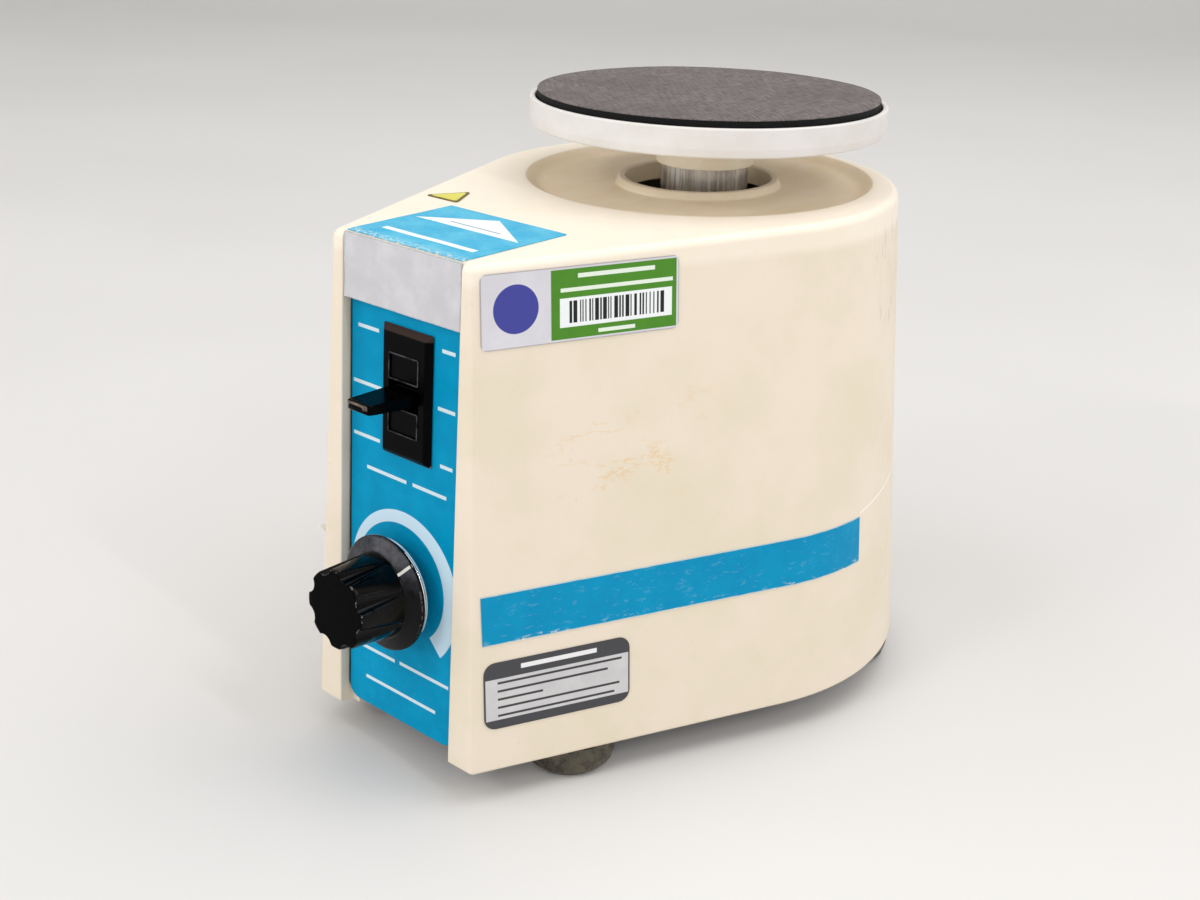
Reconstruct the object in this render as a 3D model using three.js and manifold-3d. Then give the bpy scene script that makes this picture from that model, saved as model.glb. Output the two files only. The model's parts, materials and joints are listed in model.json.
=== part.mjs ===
// A bench-top vortex shaker: a drafted, teardrop-plan casing with a round platform on top that a motor
// inside carries round a small circle, a three-position lever switch and a speed knob.
// Millimetres, +Z up, the front faces -Y. The origin is the centre of the bounding box's base.
import * as THREE from "three";
import { mergeVertices } from "three/addons/utils/BufferGeometryUtils.js";
import Module from "manifold-3d";

const wasm = await Module();
wasm.setup();

// ---- Driving dimensions ----------------------------------------------------------------------------

// The casing's plan is a round back whose sides run on, tangent to it, to a narrow flat front.
// Every size in the plan changes evenly from the bottom edge to the top.
const CASE_HEIGHT = 126;
const BOTTOM = { radius: 66.6, front: 105.6, halfFront: 28.75 };
const TOP = { radius: 56.9, front: 100.25, halfFront: 23.85 };
const TOP_SLOPE = 0.0187; // rise of the top towards the back
const WALL = 3;
const ROOF = 4.9;
const EDGE = 2; // rounding of the top edge
const FOOT_DROP = 8.5; // from the casing's bottom edge to the surface it stands on

// Front channel, which the control panel sits in
const CHANNEL_HALF = 20.3;
const PANEL_INSET = 2.4;
const PANEL_THICKNESS = 1.2;
const NAMEPLATE = { bottom: 108.5, top: 123.5, inset: 0.5 };

// The platform drive stands on this axis; the platform's own axis is ECCENTRIC away from it.
const AXIS_Y = 6.3;
const ECCENTRIC = 2;
const DISH_RADIUS = 46.8;
const DISH_DEPTH = 2.1;
const LIP_RADIUS = 21.6;
const HOLE_RADIUS = 19.8;
const SLEEVE_RADIUS = 11.75;
const BOSS_RADIUS = 13.1;
const BOSS_BOTTOM = 130.1;
const TRAY_RADIUS = 47.4;
const MAT_RADIUS = 45.55;
const TRAY_BOTTOM = 139.8;
const TRAY_RIM = 147.1;
const MAT_TOP = 149;

// Controls, up the front face from the casing's bottom edge
const KNOB_UP = 39.5;
const SWITCH_UP = 88.9;
const SWITCH_X = 1.3;

// Feet
const FRONT_FOOT = { x: 29.5, y: -72 };
const REAR_FOOT = { x: 47.5, y: 26 };

// Motor, from the bottom
const SHAFT_RADIUS = 4;
const BEARING_RADIUS = 11;
const CARRIAGE = { bottom: 104, top: 107, radius: 46 };
const CORE = { bottom: 50, top: 80 };
const POST_X = 38;
const POST_RADIUS = 3;
const BOLT_OFFSET = 31;

const GAP = 0.3; // between pieces that touch
const SKIN = 0.1; // between a label and what it sticks to
const LABEL = 0.3; // thickness of a label
const RUNNING = 0.05; // radial clearance of a shaft in its bearing
const ROUND = 24; // sides of a round piece that the casing hides
const FINE = 40; // and of one that shows

// ---- Solids ----------------------------------------------------------------------------------------

// A closed geometry as a solid with its faces pointing out.
function solid(geometry) {
  const bare = geometry.clone();
  bare.deleteAttribute("normal");
  bare.deleteAttribute("uv");
  const merged = mergeVertices(bare, 1e-4);
  const vertProperties = merged.getAttribute("position").array;
  const triVerts = new Uint32Array(merged.index.array);
  const made = new wasm.Manifold(new wasm.Mesh({ numProp: 3, vertProperties, triVerts }));
  if (made.volume() > 0) return made;
  for (let i = 0; i < triVerts.length; i += 3) {
    [triVerts[i + 1], triVerts[i + 2]] = [triVerts[i + 2], triVerts[i + 1]];
  }
  return new wasm.Manifold(new wasm.Mesh({ numProp: 3, vertProperties, triVerts }));
}

function geometryOf(made) {
  const { numProp, numVert, vertProperties, triVerts } = made.getMesh();
  const points = new Float32Array(numVert * 3);
  for (let i = 0; i < numVert; i++) {
    points.set(vertProperties.subarray(i * numProp, i * numProp + 3), i * 3);
  }
  const geometry = new THREE.BufferGeometry();
  geometry.setAttribute("position", new THREE.BufferAttribute(points, 3));
  geometry.setIndex(new THREE.BufferAttribute(triVerts, 1));
  geometry.computeVertexNormals();
  return geometry;
}

const join = (first, ...rest) => rest.reduce((whole, piece) => whole.add(piece), first);
const cut = (first, ...rest) => rest.reduce((whole, piece) => whole.subtract(piece), first);

function block([x0, x1], [y0, y1], [z0, z1]) {
  const geometry = new THREE.BoxGeometry(x1 - x0, y1 - y0, z1 - z0);
  geometry.translate((x0 + x1) / 2, (y0 + y1) / 2, (z0 + z1) / 2);
  return solid(geometry);
}

// A cylinder along Z.
function post(radius, [z0, z1], { x = 0, y = 0, sides = ROUND } = {}) {
  const geometry = new THREE.CylinderGeometry(radius, radius, z1 - z0, sides, 1);
  geometry.rotateX(Math.PI / 2);
  geometry.translate(x, y, (z0 + z1) / 2);
  return solid(geometry);
}

function ring(outer, inner, [z0, z1], options = {}) {
  return cut(post(outer, [z0, z1], options), post(inner, [z0 - 1, z1 + 1], options));
}

// A turned solid along Z from [radius, height] points that start and end on the axis or close on themselves.
function turned(profile, { x = 0, y = 0, sides = ROUND } = {}) {
  const points = profile.map(([radius, height]) => new THREE.Vector2(radius, height));
  const geometry = new THREE.LatheGeometry(points, sides);
  geometry.rotateX(Math.PI / 2);
  geometry.translate(x, y, 0);
  return solid(geometry);
}

// A flat plate between two heights from an outline of [x, y] points.
function plate(outline, [z0, z1]) {
  const shape = new THREE.Shape(outline.map(([x, y]) => new THREE.Vector2(x, y)));
  const geometry = new THREE.ExtrudeGeometry(shape, { depth: z1 - z0, bevelEnabled: false });
  geometry.translate(0, 0, z0);
  return solid(geometry);
}

// The outline of a rectangle with rounded corners, centred on [x, y].
function rounded(width, height, radius, [x, y] = [0, 0], cornerSteps = 4) {
  const corners = [[1, 1], [-1, 1], [-1, -1], [1, -1]];
  return corners.flatMap(([sx, sy], quarter) =>
    Array.from({ length: cornerSteps + 1 }, (_, step) => {
      const angle = (quarter + step / cornerSteps) * (Math.PI / 2);
      return [
        x + sx * (width / 2 - radius) + radius * Math.cos(angle),
        y + sy * (height / 2 - radius) + radius * Math.sin(angle),
      ];
    }),
  );
}

// Turns a solid made along +Z to face -Y, with its own +Y pointing up.
function facing(made, { x = 0, y = 0, z = 0 } = {}) {
  const geometry = geometryOf(made);
  geometry.rotateX(Math.PI / 2);
  geometry.translate(x, y, z);
  return solid(geometry);
}

function place(made, matrix) {
  const geometry = geometryOf(made);
  geometry.applyMatrix4(matrix);
  return solid(geometry);
}

// ---- Frames of the casing's faces ------------------------------------------------------------------

// Front face: x across, y into the casing, z up the raked face from its bottom edge.
const RAKE = Math.atan((BOTTOM.front - TOP.front) / CASE_HEIGHT);
const frontFrame = new THREE.Matrix4()
  .makeTranslation(0, -BOTTOM.front, 0)
  .multiply(new THREE.Matrix4().makeRotationX(-RAKE));

// Top face: x across, y back, z out of the sloping top.
const topFrame = new THREE.Matrix4()
  .makeTranslation(0, 0, CASE_HEIGHT)
  .multiply(new THREE.Matrix4().makeRotationX(Math.atan(TOP_SLOPE)));

// The angle below +X at which a side leaves the round back.
function tangentAngle({ radius, front, halfFront }) {
  return Math.acos(radius / Math.hypot(halfFront, front)) - Math.atan2(front, halfFront);
}

// Right flat side: x back from the front edge, y into the casing, z up the drafted face.
const sideFrame = (() => {
  const corner = new THREE.Vector3(BOTTOM.halfFront, -BOTTOM.front, 0);
  const above = new THREE.Vector3(TOP.halfFront, -TOP.front, CASE_HEIGHT);
  const angle = tangentAngle(BOTTOM);
  const along = new THREE.Vector3(
    BOTTOM.radius * Math.cos(angle),
    BOTTOM.radius * Math.sin(angle),
    0,
  ).sub(corner).normalize();
  const inward = above.sub(corner).cross(along).normalize();
  const up = along.clone().cross(inward);
  return new THREE.Matrix4().makeBasis(along, inward, up).setPosition(corner);
})();

// ---- Casing ----------------------------------------------------------------------------------------

// The plan's sizes at a height, drawn in by inset all round.
function planAt(height, inset = 0) {
  const size = (key) => THREE.MathUtils.lerp(BOTTOM[key], TOP[key], height / CASE_HEIGHT);
  const plan = { radius: size("radius"), front: size("front"), halfFront: size("halfFront") };
  const opening = -tangentAngle(plan); // of each side, from straight back
  const cornerShift = (1 - Math.sin(opening)) / Math.cos(opening);
  return {
    radius: plan.radius - inset,
    front: plan.front - inset,
    halfFront: plan.halfFront - inset * cornerShift,
  };
}

// The plan as points: right front corner, along the side, round the back, and along the left side.
// The sides twist a little from bottom to top, so they are divided too.
const SIDE_STEPS = 3;
function planPoints(plan) {
  const start = tangentAngle(plan);
  const onArc = (angle) => new THREE.Vector2(Math.cos(angle), Math.sin(angle)).multiplyScalar(plan.radius);
  const spans = [[start, 0, 4], [0, Math.PI, 32], [Math.PI, Math.PI - start, 4]];
  const angles = spans.flatMap(([from, to, steps]) =>
    Array.from({ length: steps }, (_, step) => THREE.MathUtils.lerp(from, to, step / steps)),
  );
  const corner = new THREE.Vector2(plan.halfFront, -plan.front);
  const right = Array.from({ length: SIDE_STEPS }, (_, step) =>
    corner.clone().lerp(onArc(start), step / SIDE_STEPS),
  );
  const left = right.map((point) => new THREE.Vector2(-point.x, point.y)).reverse();
  return [...right, ...angles.map(onArc), onArc(Math.PI - start), ...left];
}

// A solid with the casing's plan, whose inset changes at the heights given as [height, inset] rings.
// A sloping one rises towards the back as the casing's top does.
function planSolid(rings, sloping = true) {
  const levels = rings.map(([height, inset]) => ({ height, points: planPoints(planAt(height, inset)) }));
  const steps = levels.length - 1;
  const base = levels[0].points;
  const shape = new THREE.Shape(base);
  const geometry = new THREE.ExtrudeGeometry(shape, { depth: steps, steps, bevelEnabled: false });
  const position = geometry.getAttribute("position");
  for (let i = 0; i < position.count; i++) {
    const here = new THREE.Vector2(position.getX(i), position.getY(i));
    const { height, points } = levels[Math.round(position.getZ(i))];
    const point = points[base.findIndex((corner) => corner.distanceTo(here) < 1e-3)];
    const lift = sloping ? (TOP_SLOPE * point.y * height) / CASE_HEIGHT : 0;
    position.setXYZ(i, point.x, point.y, height + lift);
  }
  return solid(geometry);
}

// The outside of the casing, drawn in by inset.
function casingOuter(inset = 0) {
  const straight = [1, CASE_HEIGHT / 3, (2 * CASE_HEIGHT) / 3, CASE_HEIGHT - EDGE];
  return planSolid([
    [0, inset + 0.8],
    ...straight.map((height) => [height, inset]),
    [CASE_HEIGHT - EDGE * 0.3, inset + EDGE * 0.3],
    [CASE_HEIGHT, inset + EDGE],
  ]);
}

// A thin layer over the casing's outside, as labels and stripes are cut from.
const casingSkin = () => cut(casingOuter(-SKIN - LABEL), casingOuter(-SKIN));

const FRONT_WALL = 6.5; // from the front face to the cavity
const INLET_Z = 30;
const INLET_FLAT = 61.5; // how far back the flat for the power inlet lies
const INLET_BOX = { half: 13.6, halfHeight: 9.9 };
const INLET_FLANGE = { half: 15.3, halfHeight: 11.7, thickness: 2 };
const INLET_ROOM = 0.5; // round the inlet in its opening
const feet = [
  { name: "front_right", x: FRONT_FOOT.x, y: FRONT_FOOT.y },
  { name: "front_left", x: -FRONT_FOOT.x, y: FRONT_FOOT.y },
  { name: "rear_right", x: REAR_FOOT.x, y: REAR_FOOT.y },
  { name: "rear_left", x: -REAR_FOOT.x, y: REAR_FOOT.y },
];
const BASE_THICKNESS = 1.5;
const FOOT_BOSS = [BASE_THICKNESS + GAP, 22];

function footBoss({ x, y }) {
  const side = Math.sign(x);
  const web = [x, x + side * 20].sort((a, b) => a - b);
  return join(post(5, FOOT_BOSS, { x, y, sides: 20 }), block(web, [y - 1.5, y + 1.5], FOOT_BOSS));
}

// The ring-shaped dish round the opening, which leaves the lip standing level with the top.
function dishCut() {
  const dish = turned([
    [LIP_RADIUS, -DISH_DEPTH],
    [DISH_RADIUS - DISH_DEPTH, -DISH_DEPTH],
    [DISH_RADIUS + 1, 1],
    [LIP_RADIUS, 1],
    [LIP_RADIUS, -DISH_DEPTH],
  ], { y: AXIS_Y, sides: FINE });
  return place(dish, topFrame);
}

function housing() {
  const outer = casingOuter();
  const cavity = planSolid([-1, 40, 80, CASE_HEIGHT - ROOF].map((height) => [height, WALL]));
  const frontWall = place(block([-80, 80], [-30, FRONT_WALL], [-10, 140]), frontFrame);
  let shell = cut(outer, cut(cavity, frontWall));
  const boardRoom = place(block([-17.5, 17.5], [PANEL_INSET, 12], [-5, 116]), frontFrame);
  const across = [-CHANNEL_HALF, CHANNEL_HALF];
  const panelSeat = PANEL_INSET + PANEL_THICKNESS + GAP;
  const plateSeat = NAMEPLATE.inset + LABEL + SKIN;
  const lowChannel = place(block(across, [-5, panelSeat], [-5, NAMEPLATE.bottom]), frontFrame);
  const highChannel = place(block(across, [-5, plateSeat], [NAMEPLATE.bottom - 1, 140]), frontFrame);
  const brow = place(block(across, [-TOP.front, 2 * EDGE - TOP.front], [-2 * EDGE, 0]), topFrame);
  const flat = INLET_FLANGE.half + 1.2;
  const flatHeight = INLET_FLANGE.halfHeight + 0.8;
  const pad = flat + 2;
  const padHeight = flatHeight + 2;
  const inletPad = block([-pad, pad], [56, 64], [INLET_Z - padHeight, INLET_Z + padHeight]);
  const opening = INLET_BOX.half + INLET_ROOM;
  const openingHeight = INLET_BOX.halfHeight + INLET_ROOM;
  const bosses = join(...feet.map(footBoss), inletPad).intersect(outer);
  shell = join(shell, bosses, brow);
  for (const x of [-POST_X, POST_X]) {
    shell = join(shell, post(7, [CARRIAGE.top + 5.3, CASE_HEIGHT - 3.5], { x, y: AXIS_Y }));
  }
  return cut(
    shell,
    boardRoom,
    lowChannel,
    highChannel,
    dishCut(),
    place(post(HOLE_RADIUS, [-12, 5], { y: AXIS_Y, sides: FINE }), topFrame),
    block([-flat, flat], [INLET_FLAT, 80], [INLET_Z - flatHeight, INLET_Z + flatHeight]),
    block([-opening, opening], [50, 65], [INLET_Z - openingHeight, INLET_Z + openingHeight]),
    ...feet.map(({ x, y }) => post(2.2, [0, 18], { x, y, sides: 16 })),
    ...[-POST_X, POST_X].map((x) => post(POST_RADIUS + GAP, [100, 119.2], { x, y: AXIS_Y })),
  );
}

function basePlate() {
  const edge = WALL + 0.4;
  const sheet = planSolid([[0, edge], [BASE_THICKNESS, edge]], false);
  const front = block([-80, 80], [-130, FRONT_WALL + 0.4 - BOTTOM.front], [-5, 10]);
  const holes = feet.map(({ x, y }) => post(2.2, [0, 5], { x, y, sides: 16 }));
  return cut(sheet, front, ...holes);
}

// A soft foot, turned about its screw.
function foot({ x, y }) {
  return turned([
    [2.2, -4],
    [4.8, -4],
    [4.8, -FOOT_DROP],
    [9.2, -FOOT_DROP],
    [11, -7],
    [11.8, -4],
    [11.5, -GAP],
    [2.2, -GAP],
    [2.2, -4],
  ], { x, y });
}

function footScrew({ x, y }) {
  return join(post(1.9, [-5, 16], { x, y, sides: 12 }), post(4.2, [-6.6, -4 - GAP], { x, y, sides: 16 }));
}

// ---- Labels ----------------------------------------------------------------------------------------

const STRIPE = { bottom: 33.5, top: 46.3, back: 2.2, front: 2.6 };

function stripe(side) {
  const across = [side * 10, side * 80].sort((a, b) => a - b);
  const along = [STRIPE.front - planAt(STRIPE.bottom).front, STRIPE.back];
  return casingSkin().intersect(block(across, along, [STRIPE.bottom, STRIPE.top]));
}

// A label on the right side, between distances along and up that face.
function sideLabel([x0, x1], [z0, z1], radius) {
  const outline = rounded(x1 - x0, z1 - z0, radius, [(x0 + x1) / 2, (z0 + z1) / 2]);
  return casingSkin().intersect(place(facing(plate(outline, [-10, 10])), sideFrame));
}

// ---- Front panel and its controls, in the front face's own frame ------------------------------------

const KNOB_PLACE = { x: 0, y: PANEL_INSET, z: KNOB_UP };
const BEZEL = { width: 17.1, height: 32, proud: 1.7, chamfer: 1.4 };

function frontPanel() {
  const [low, high] = [2.4, NAMEPLATE.bottom - GAP];
  const outline = rounded(39.8, high - low, 4, [0, (low + high) / 2]);
  return cut(
    facing(plate(outline, [-PANEL_THICKNESS, 0]), { y: PANEL_INSET }),
    block([SWITCH_X - 7.3, SWITCH_X + 7.3], [0, 6], [SWITCH_UP - 14.6, SWITCH_UP + 14.6]),
    facing(post(5.1, [-5, 5]), KNOB_PLACE),
  );
}

function switchBody() {
  const middle = [SWITCH_X, SWITCH_UP];
  const face = rounded(BEZEL.width - 2 * BEZEL.chamfer, BEZEL.height - 2 * BEZEL.chamfer, 0.3, middle, 1);
  const shape = new THREE.Shape(face.map(([x, y]) => new THREE.Vector2(x, y)));
  const bevel = { bevelThickness: BEZEL.chamfer, bevelSize: BEZEL.chamfer, bevelSegments: 1 };
  const slab = new THREE.ExtrudeGeometry(shape, { depth: 2, bevelEnabled: true, ...bevel });
  slab.translate(0, 0, BEZEL.proud - BEZEL.chamfer - 2);
  const bezel = solid(slab).intersect(block([-50, 50], [0, 200], [SKIN, 5]));
  const box = plate(rounded(14, 28.6, 0.6, middle, 2), [-18, SKIN]);
  const well = block([SWITCH_X - 5.6, SWITCH_X + 5.6], [-5, 9.5], [SWITCH_UP - 7.5, SWITCH_UP + 7.5]);
  return cut(facing(join(bezel, box), { y: PANEL_INSET }), well, trunnion(1.5 + RUNNING, 6.7));
}

// The lever's pivot, along x.
const LEVER_PIVOT = 5; // behind the front face
function trunnion(radius, half) {
  const geometry = new THREE.CylinderGeometry(radius, radius, 2 * half, 24, 1);
  geometry.rotateZ(Math.PI / 2);
  geometry.translate(SWITCH_X, LEVER_PIVOT, SWITCH_UP);
  return solid(geometry);
}

function switchLever() {
  const outline = [[-5, 0], [5, 0], [4.1, 18.6], [-4.1, 18.6]];
  const side = [[-0.5, -1.9], [10, -1.7], [18.6, -1.1], [18.6, 1.1], [10, 1.7], [-0.5, 1.9]];
  const wide = plate(outline, [-3, 3]);
  const thin = geometryOf(plate(side, [-6, 6]));
  thin.applyMatrix4(new THREE.Matrix4().set(0, 0, 1, 0, 1, 0, 0, 0, 0, 1, 0, 0, 0, 0, 0, 1));
  const lever = geometryOf(wide.intersect(solid(thin)));
  lever.scale(1, -1, 1);
  lever.translate(SWITCH_X, LEVER_PIVOT, SWITCH_UP);
  return join(solid(lever), trunnion(3.6, 5.2), trunnion(1.5, 6.4));
}

const POT_SHAFT_RADIUS = 3;
function potBody() {
  const back = -PANEL_THICKNESS - GAP;
  const can = join(post(8.3, [back - 10, back]), post(4.8, [back - 1, 4.8]));
  return facing(cut(can, post(POT_SHAFT_RADIUS + RUNNING, [back - 8, 6])), KNOB_PLACE);
}

function potNut() {
  return facing(cut(post(6.9, [GAP, 2.3], { sides: 6 }), post(5.1, [0, 3])), KNOB_PLACE);
}

function potShaft() {
  return facing(post(POT_SHAFT_RADIUS, [-8.5, 16.4]), KNOB_PLACE);
}

const KNOB_FLUTES = 8;
function knob() {
  const body = turned([
    [0, 5.1], [14.2, 5.1], [14.5, 5.4], [14.5, 5.9], [14.3, 6.1], [10.4, 7.5],
    [9.9, 20.2], [9.4, 20.8], [0, 20.8],
  ], { sides: FINE });
  const flutes = Array.from({ length: KNOB_FLUTES }, (_, index) => {
    const angle = ((index + 0.5) / KNOB_FLUTES) * 2 * Math.PI;
    const groove = new THREE.CylinderGeometry(2.6, 1, 14, 8, 1);
    groove.rotateX(Math.PI / 2);
    groove.translate(10.8 * Math.cos(angle), 10.8 * Math.sin(angle), 14.8);
    return solid(groove);
  });
  const bore = post(POT_SHAFT_RADIUS + SKIN, [5, 16.8]);
  return facing(cut(body, bore, ...flutes), KNOB_PLACE);
}

function knobRing() {
  return facing(ring(13.7, 6, [3.7, 4.8], { sides: FINE }), KNOB_PLACE);
}

// ---- Power inlet in the back -------------------------------------------------------------------------

function inletBody() {
  const face = INLET_FLAT + GAP;
  const centred = ({ half, halfHeight }, depth) =>
    block([-half, half], depth, [INLET_Z - halfHeight, INLET_Z + halfHeight]);
  const flange = centred(INLET_FLANGE, [face, face + INLET_FLANGE.thickness]);
  const box = centred(INLET_BOX, [44, face + 1]);
  const mouth = [[-11.9, -8.2], [11.9, -8.2], [11.9, 4.6], [8.3, 8.2], [-8.3, 8.2], [-11.9, 4.6]];
  const hollow = geometryOf(plate(mouth, [0, 16]));
  hollow.rotateX(Math.PI / 2);
  hollow.translate(0, INLET_FLAT + 3, INLET_Z);
  return cut(join(flange, box), solid(hollow), ...inletPins(SKIN));
}

const PINS = [
  { name: "live", x: 7, z: -2.2 },
  { name: "neutral", x: -7, z: -2.2 },
  { name: "earth", x: 0, z: 1.8 },
];
function inletPins(grow = 0) {
  return PINS.map(({ x, z }) =>
    block(
      [x - 1 - grow, x + 1 + grow],
      [43 - grow, INLET_FLAT - 2],
      [INLET_Z + z - 2 - grow, INLET_Z + z + 2 + grow],
    ),
  );
}

// ---- Inside the casing: electronics and touch switch --------------------------------------------------

const BOARD_Y = -88;
const TOUCH = { y: -61, bottom: 84, top: 94 };
const PLUNGER_RADIUS = 1.4;

function heatSink() {
  const base = block([-15, 3], [BOARD_Y + 1.9, BOARD_Y + 3.4], [46, 66]);
  const fins = [-15, -9.75, -4.5, 1.5].map((x) => block([x, x + 1.5], [BOARD_Y + 3, BOARD_Y + 13], [46, 66]));
  return join(base, ...fins);
}

function touchBracket() {
  const hanger = block([-12, 12], [-66.2, -64.7], [TOUCH.bottom, 119.5]);
  return join(hanger, block([-12, 12], [-66.2, -54], [118, 119.5]));
}

function touchSwitch() {
  const body = block([-10, 10], [-64.4, -57.6], [TOUCH.bottom, TOUCH.top]);
  const bore = post(PLUNGER_RADIUS + RUNNING, [TOUCH.bottom + 3, TOUCH.top + 1], { y: TOUCH.y, sides: 16 });
  return cut(body, bore);
}

// ---- Motor on its sprung carriage ---------------------------------------------------------------------

const ON_AXIS = { y: AXIS_Y };

function motorCarriage() {
  const disc = post(CARRIAGE.radius, [CARRIAGE.bottom, CARRIAGE.top], { y: AXIS_Y, sides: FINE });
  const tab = block([-6, 6], [-64.2, -30], [CARRIAGE.bottom, CARRIAGE.top]);
  const boss = post(15, [98, CARRIAGE.bottom + 1], ON_AXIS);
  return cut(
    join(disc, tab, boss),
    post(BEARING_RADIUS + SKIN, [99.2, 110], ON_AXIS),
    post(SHAFT_RADIUS + 1.5, [90, 110], ON_AXIS),
    ...[-POST_X, POST_X].map((x) => post(POST_RADIUS + RUNNING, [90, 110], { x, y: AXIS_Y })),
    ...[-BOLT_OFFSET, BOLT_OFFSET].map((y) => post(2.5, [90, 110], { y: AXIS_Y + y, sides: 16 })),
  );
}

const bearing = (z0, z1) => ring(BEARING_RADIUS, SHAFT_RADIUS + RUNNING, [z0, z1], ON_AXIS);

function statorCore() {
  const body = plate(rounded(64, 72, 4, [0, AXIS_Y], 2), [CORE.bottom - 2, CORE.top + 2]);
  return cut(
    body,
    post(20.7, [30, 100], { y: AXIS_Y, sides: FINE }),
    block([-28.6, 28.6], [AXIS_Y - 6.3, AXIS_Y + 6.3], [30, 100]),
    ...[-BOLT_OFFSET, BOLT_OFFSET].map((y) => post(2.5, [30, 100], { y: AXIS_Y + y, sides: 16 })),
  );
}

function fieldWinding() {
  const low = ring(28.3, 21.3, [CORE.bottom - 12, CORE.bottom - 2 - GAP], ON_AXIS);
  const high = ring(28.3, 21.3, [CORE.top + 2 + GAP, CORE.top + 11.7], ON_AXIS);
  const sides = [[-28, -22], [22, 28]].map((x) =>
    block(x, [AXIS_Y - 6, AXIS_Y + 6], [CORE.bottom - 6, CORE.top + 6]),
  );
  return join(low, high, ...sides);
}

function lowerBracket() {
  const bar = block([-8, 8], [AXIS_Y - 36, AXIS_Y + 36], [27, 31]);
  return cut(
    join(bar, post(15, [22, 31], ON_AXIS)),
    post(BEARING_RADIUS + SKIN, [23.4, 40], ON_AXIS),
    post(SHAFT_RADIUS + 1.5, [20, 40], ON_AXIS),
    ...[-BOLT_OFFSET, BOLT_OFFSET].map((y) => post(2.5, [20, 40], { y: AXIS_Y + y, sides: 16 })),
  );
}

function motorBolt(y) {
  const shank = post(2.2, [24, CARRIAGE.top + 1], { y: AXIS_Y + y, sides: 16 });
  return join(shank, post(4, [CARRIAGE.top + GAP, CARRIAGE.top + 2.8], { y: AXIS_Y + y, sides: 16 }));
}

// The flexible boot that closes the gap under the opening; the sleeve moves round inside its mouth.
function dustBoot() {
  const mouth = SLEEVE_RADIUS + ECCENTRIC + 0.6;
  return turned([
    [mouth, 116], [mouth, 117.6], [25.5, 117.2], [26.3, 116], [24.4, 113.2], [26.3, 110.6], [26.3, 107.3],
    [22.6, 107.3], [24.3, 111], [22.4, 113.2], [23.8, 115.6], [mouth, 116],
  ], { y: AXIS_Y, sides: 32 });
}

// ---- Rotor ---------------------------------------------------------------------------------------------

function fan() {
  const blades = Array.from({ length: 8 }, (_, index) => {
    const blade = new THREE.BoxGeometry(20, 1.2, 5);
    blade.rotateX(0.6);
    blade.translate(17.5, 0, 95.2);
    blade.rotateZ((index / 8) * 2 * Math.PI);
    blade.translate(0, AXIS_Y, 0);
    return solid(blade);
  });
  const hub = join(post(9, [93, 97.4], ON_AXIS), ...blades);
  return cut(hub, post(SHAFT_RADIUS + SKIN, [80, 110], ON_AXIS));
}

function eccentricHub() {
  const weight = post(20, [107.8, 112.4], ON_AXIS).subtract(block([-1, 50], [-60, 60], [100, 120]));
  const hub = post(8, [107.8, 112.4], ON_AXIS);
  const pin = post(SHAFT_RADIUS, [112, 127], { x: ECCENTRIC, y: AXIS_Y });
  return cut(join(weight, hub, pin), post(SHAFT_RADIUS + SKIN, [100, 111], ON_AXIS));
}

// ---- Platform, on its own axis beside the motor's -------------------------------------------------------

const ON_HEAD = { x: ECCENTRIC, y: AXIS_Y };
const SCREW_HOLE = 3.1;

function sleeve() {
  return cut(
    post(SLEEVE_RADIUS, [113.2, 136], { ...ON_HEAD, sides: FINE }),
    post(8.1, [110, 127.6], ON_HEAD),
    post(SCREW_HOLE, [120, 140], { ...ON_HEAD, sides: 16 }),
  );
}

function hubBoss() {
  return cut(
    post(BOSS_RADIUS, [BOSS_BOTTOM, TRAY_BOTTOM - GAP], { ...ON_HEAD, sides: FINE }),
    post(SLEEVE_RADIUS + SKIN, [120, 136 + GAP], { ...ON_HEAD, sides: FINE }),
    post(SCREW_HOLE, [120, 145], { ...ON_HEAD, sides: 16 }),
  );
}

const TRAY_FLOOR = 143;
function tray() {
  const inner = MAT_RADIUS + 0.4;
  return turned([
    [SCREW_HOLE, TRAY_BOTTOM], [TRAY_RADIUS - 1.2, TRAY_BOTTOM], [TRAY_RADIUS - 0.3, TRAY_BOTTOM + 1],
    [TRAY_RADIUS, TRAY_RIM - 0.6], [TRAY_RADIUS - 0.6, TRAY_RIM], [inner + 0.4, TRAY_RIM],
    [inner, TRAY_RIM - 0.4], [inner, TRAY_FLOOR], [6, TRAY_FLOOR], [6, 141.4], [SCREW_HOLE, 141.4],
    [SCREW_HOLE, TRAY_BOTTOM],
  ], { ...ON_HEAD, sides: FINE });
}

function headScrew() {
  const shank = post(SCREW_HOLE - GAP, [129, 142], { ...ON_HEAD, sides: 16 });
  return join(shank, post(5.6, [141.4 + GAP, 142.8], { ...ON_HEAD, sides: 16 }));
}

// ---- Posts, springs and stops that the carriage slides on ------------------------------------------------

function guidePost(x) {
  return join(
    post(POST_RADIUS, [85, 118.6], { x, y: AXIS_Y }),
    post(6.4, [83, 86], { x, y: AXIS_Y }),
  );
}

function pressSpring(x) {
  const [low, high, turns, radius, wire] = [87.2, 102.9, 5, 4.7, 0.8];
  const points = Array.from({ length: turns * 8 + 1 }, (_, step) => {
    const angle = (step / 8) * 2 * Math.PI;
    const height = THREE.MathUtils.lerp(low, high, step / (turns * 8));
    return new THREE.Vector3(x + radius * Math.cos(angle), AXIS_Y + radius * Math.sin(angle), height);
  });
  const section = new THREE.Shape(
    Array.from({ length: 5 }, (_, side) => {
      const angle = (side / 5) * 2 * Math.PI;
      return new THREE.Vector2(wire * Math.cos(angle), wire * Math.sin(angle));
    }),
  );
  const path = new THREE.CatmullRomCurve3(points);
  const along = { steps: turns * 10, extrudePath: path, bevelEnabled: false };
  return solid(new THREE.ExtrudeGeometry(section, along));
}

// ---- Assembly ----------------------------------------------------------------------------------------

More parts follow.
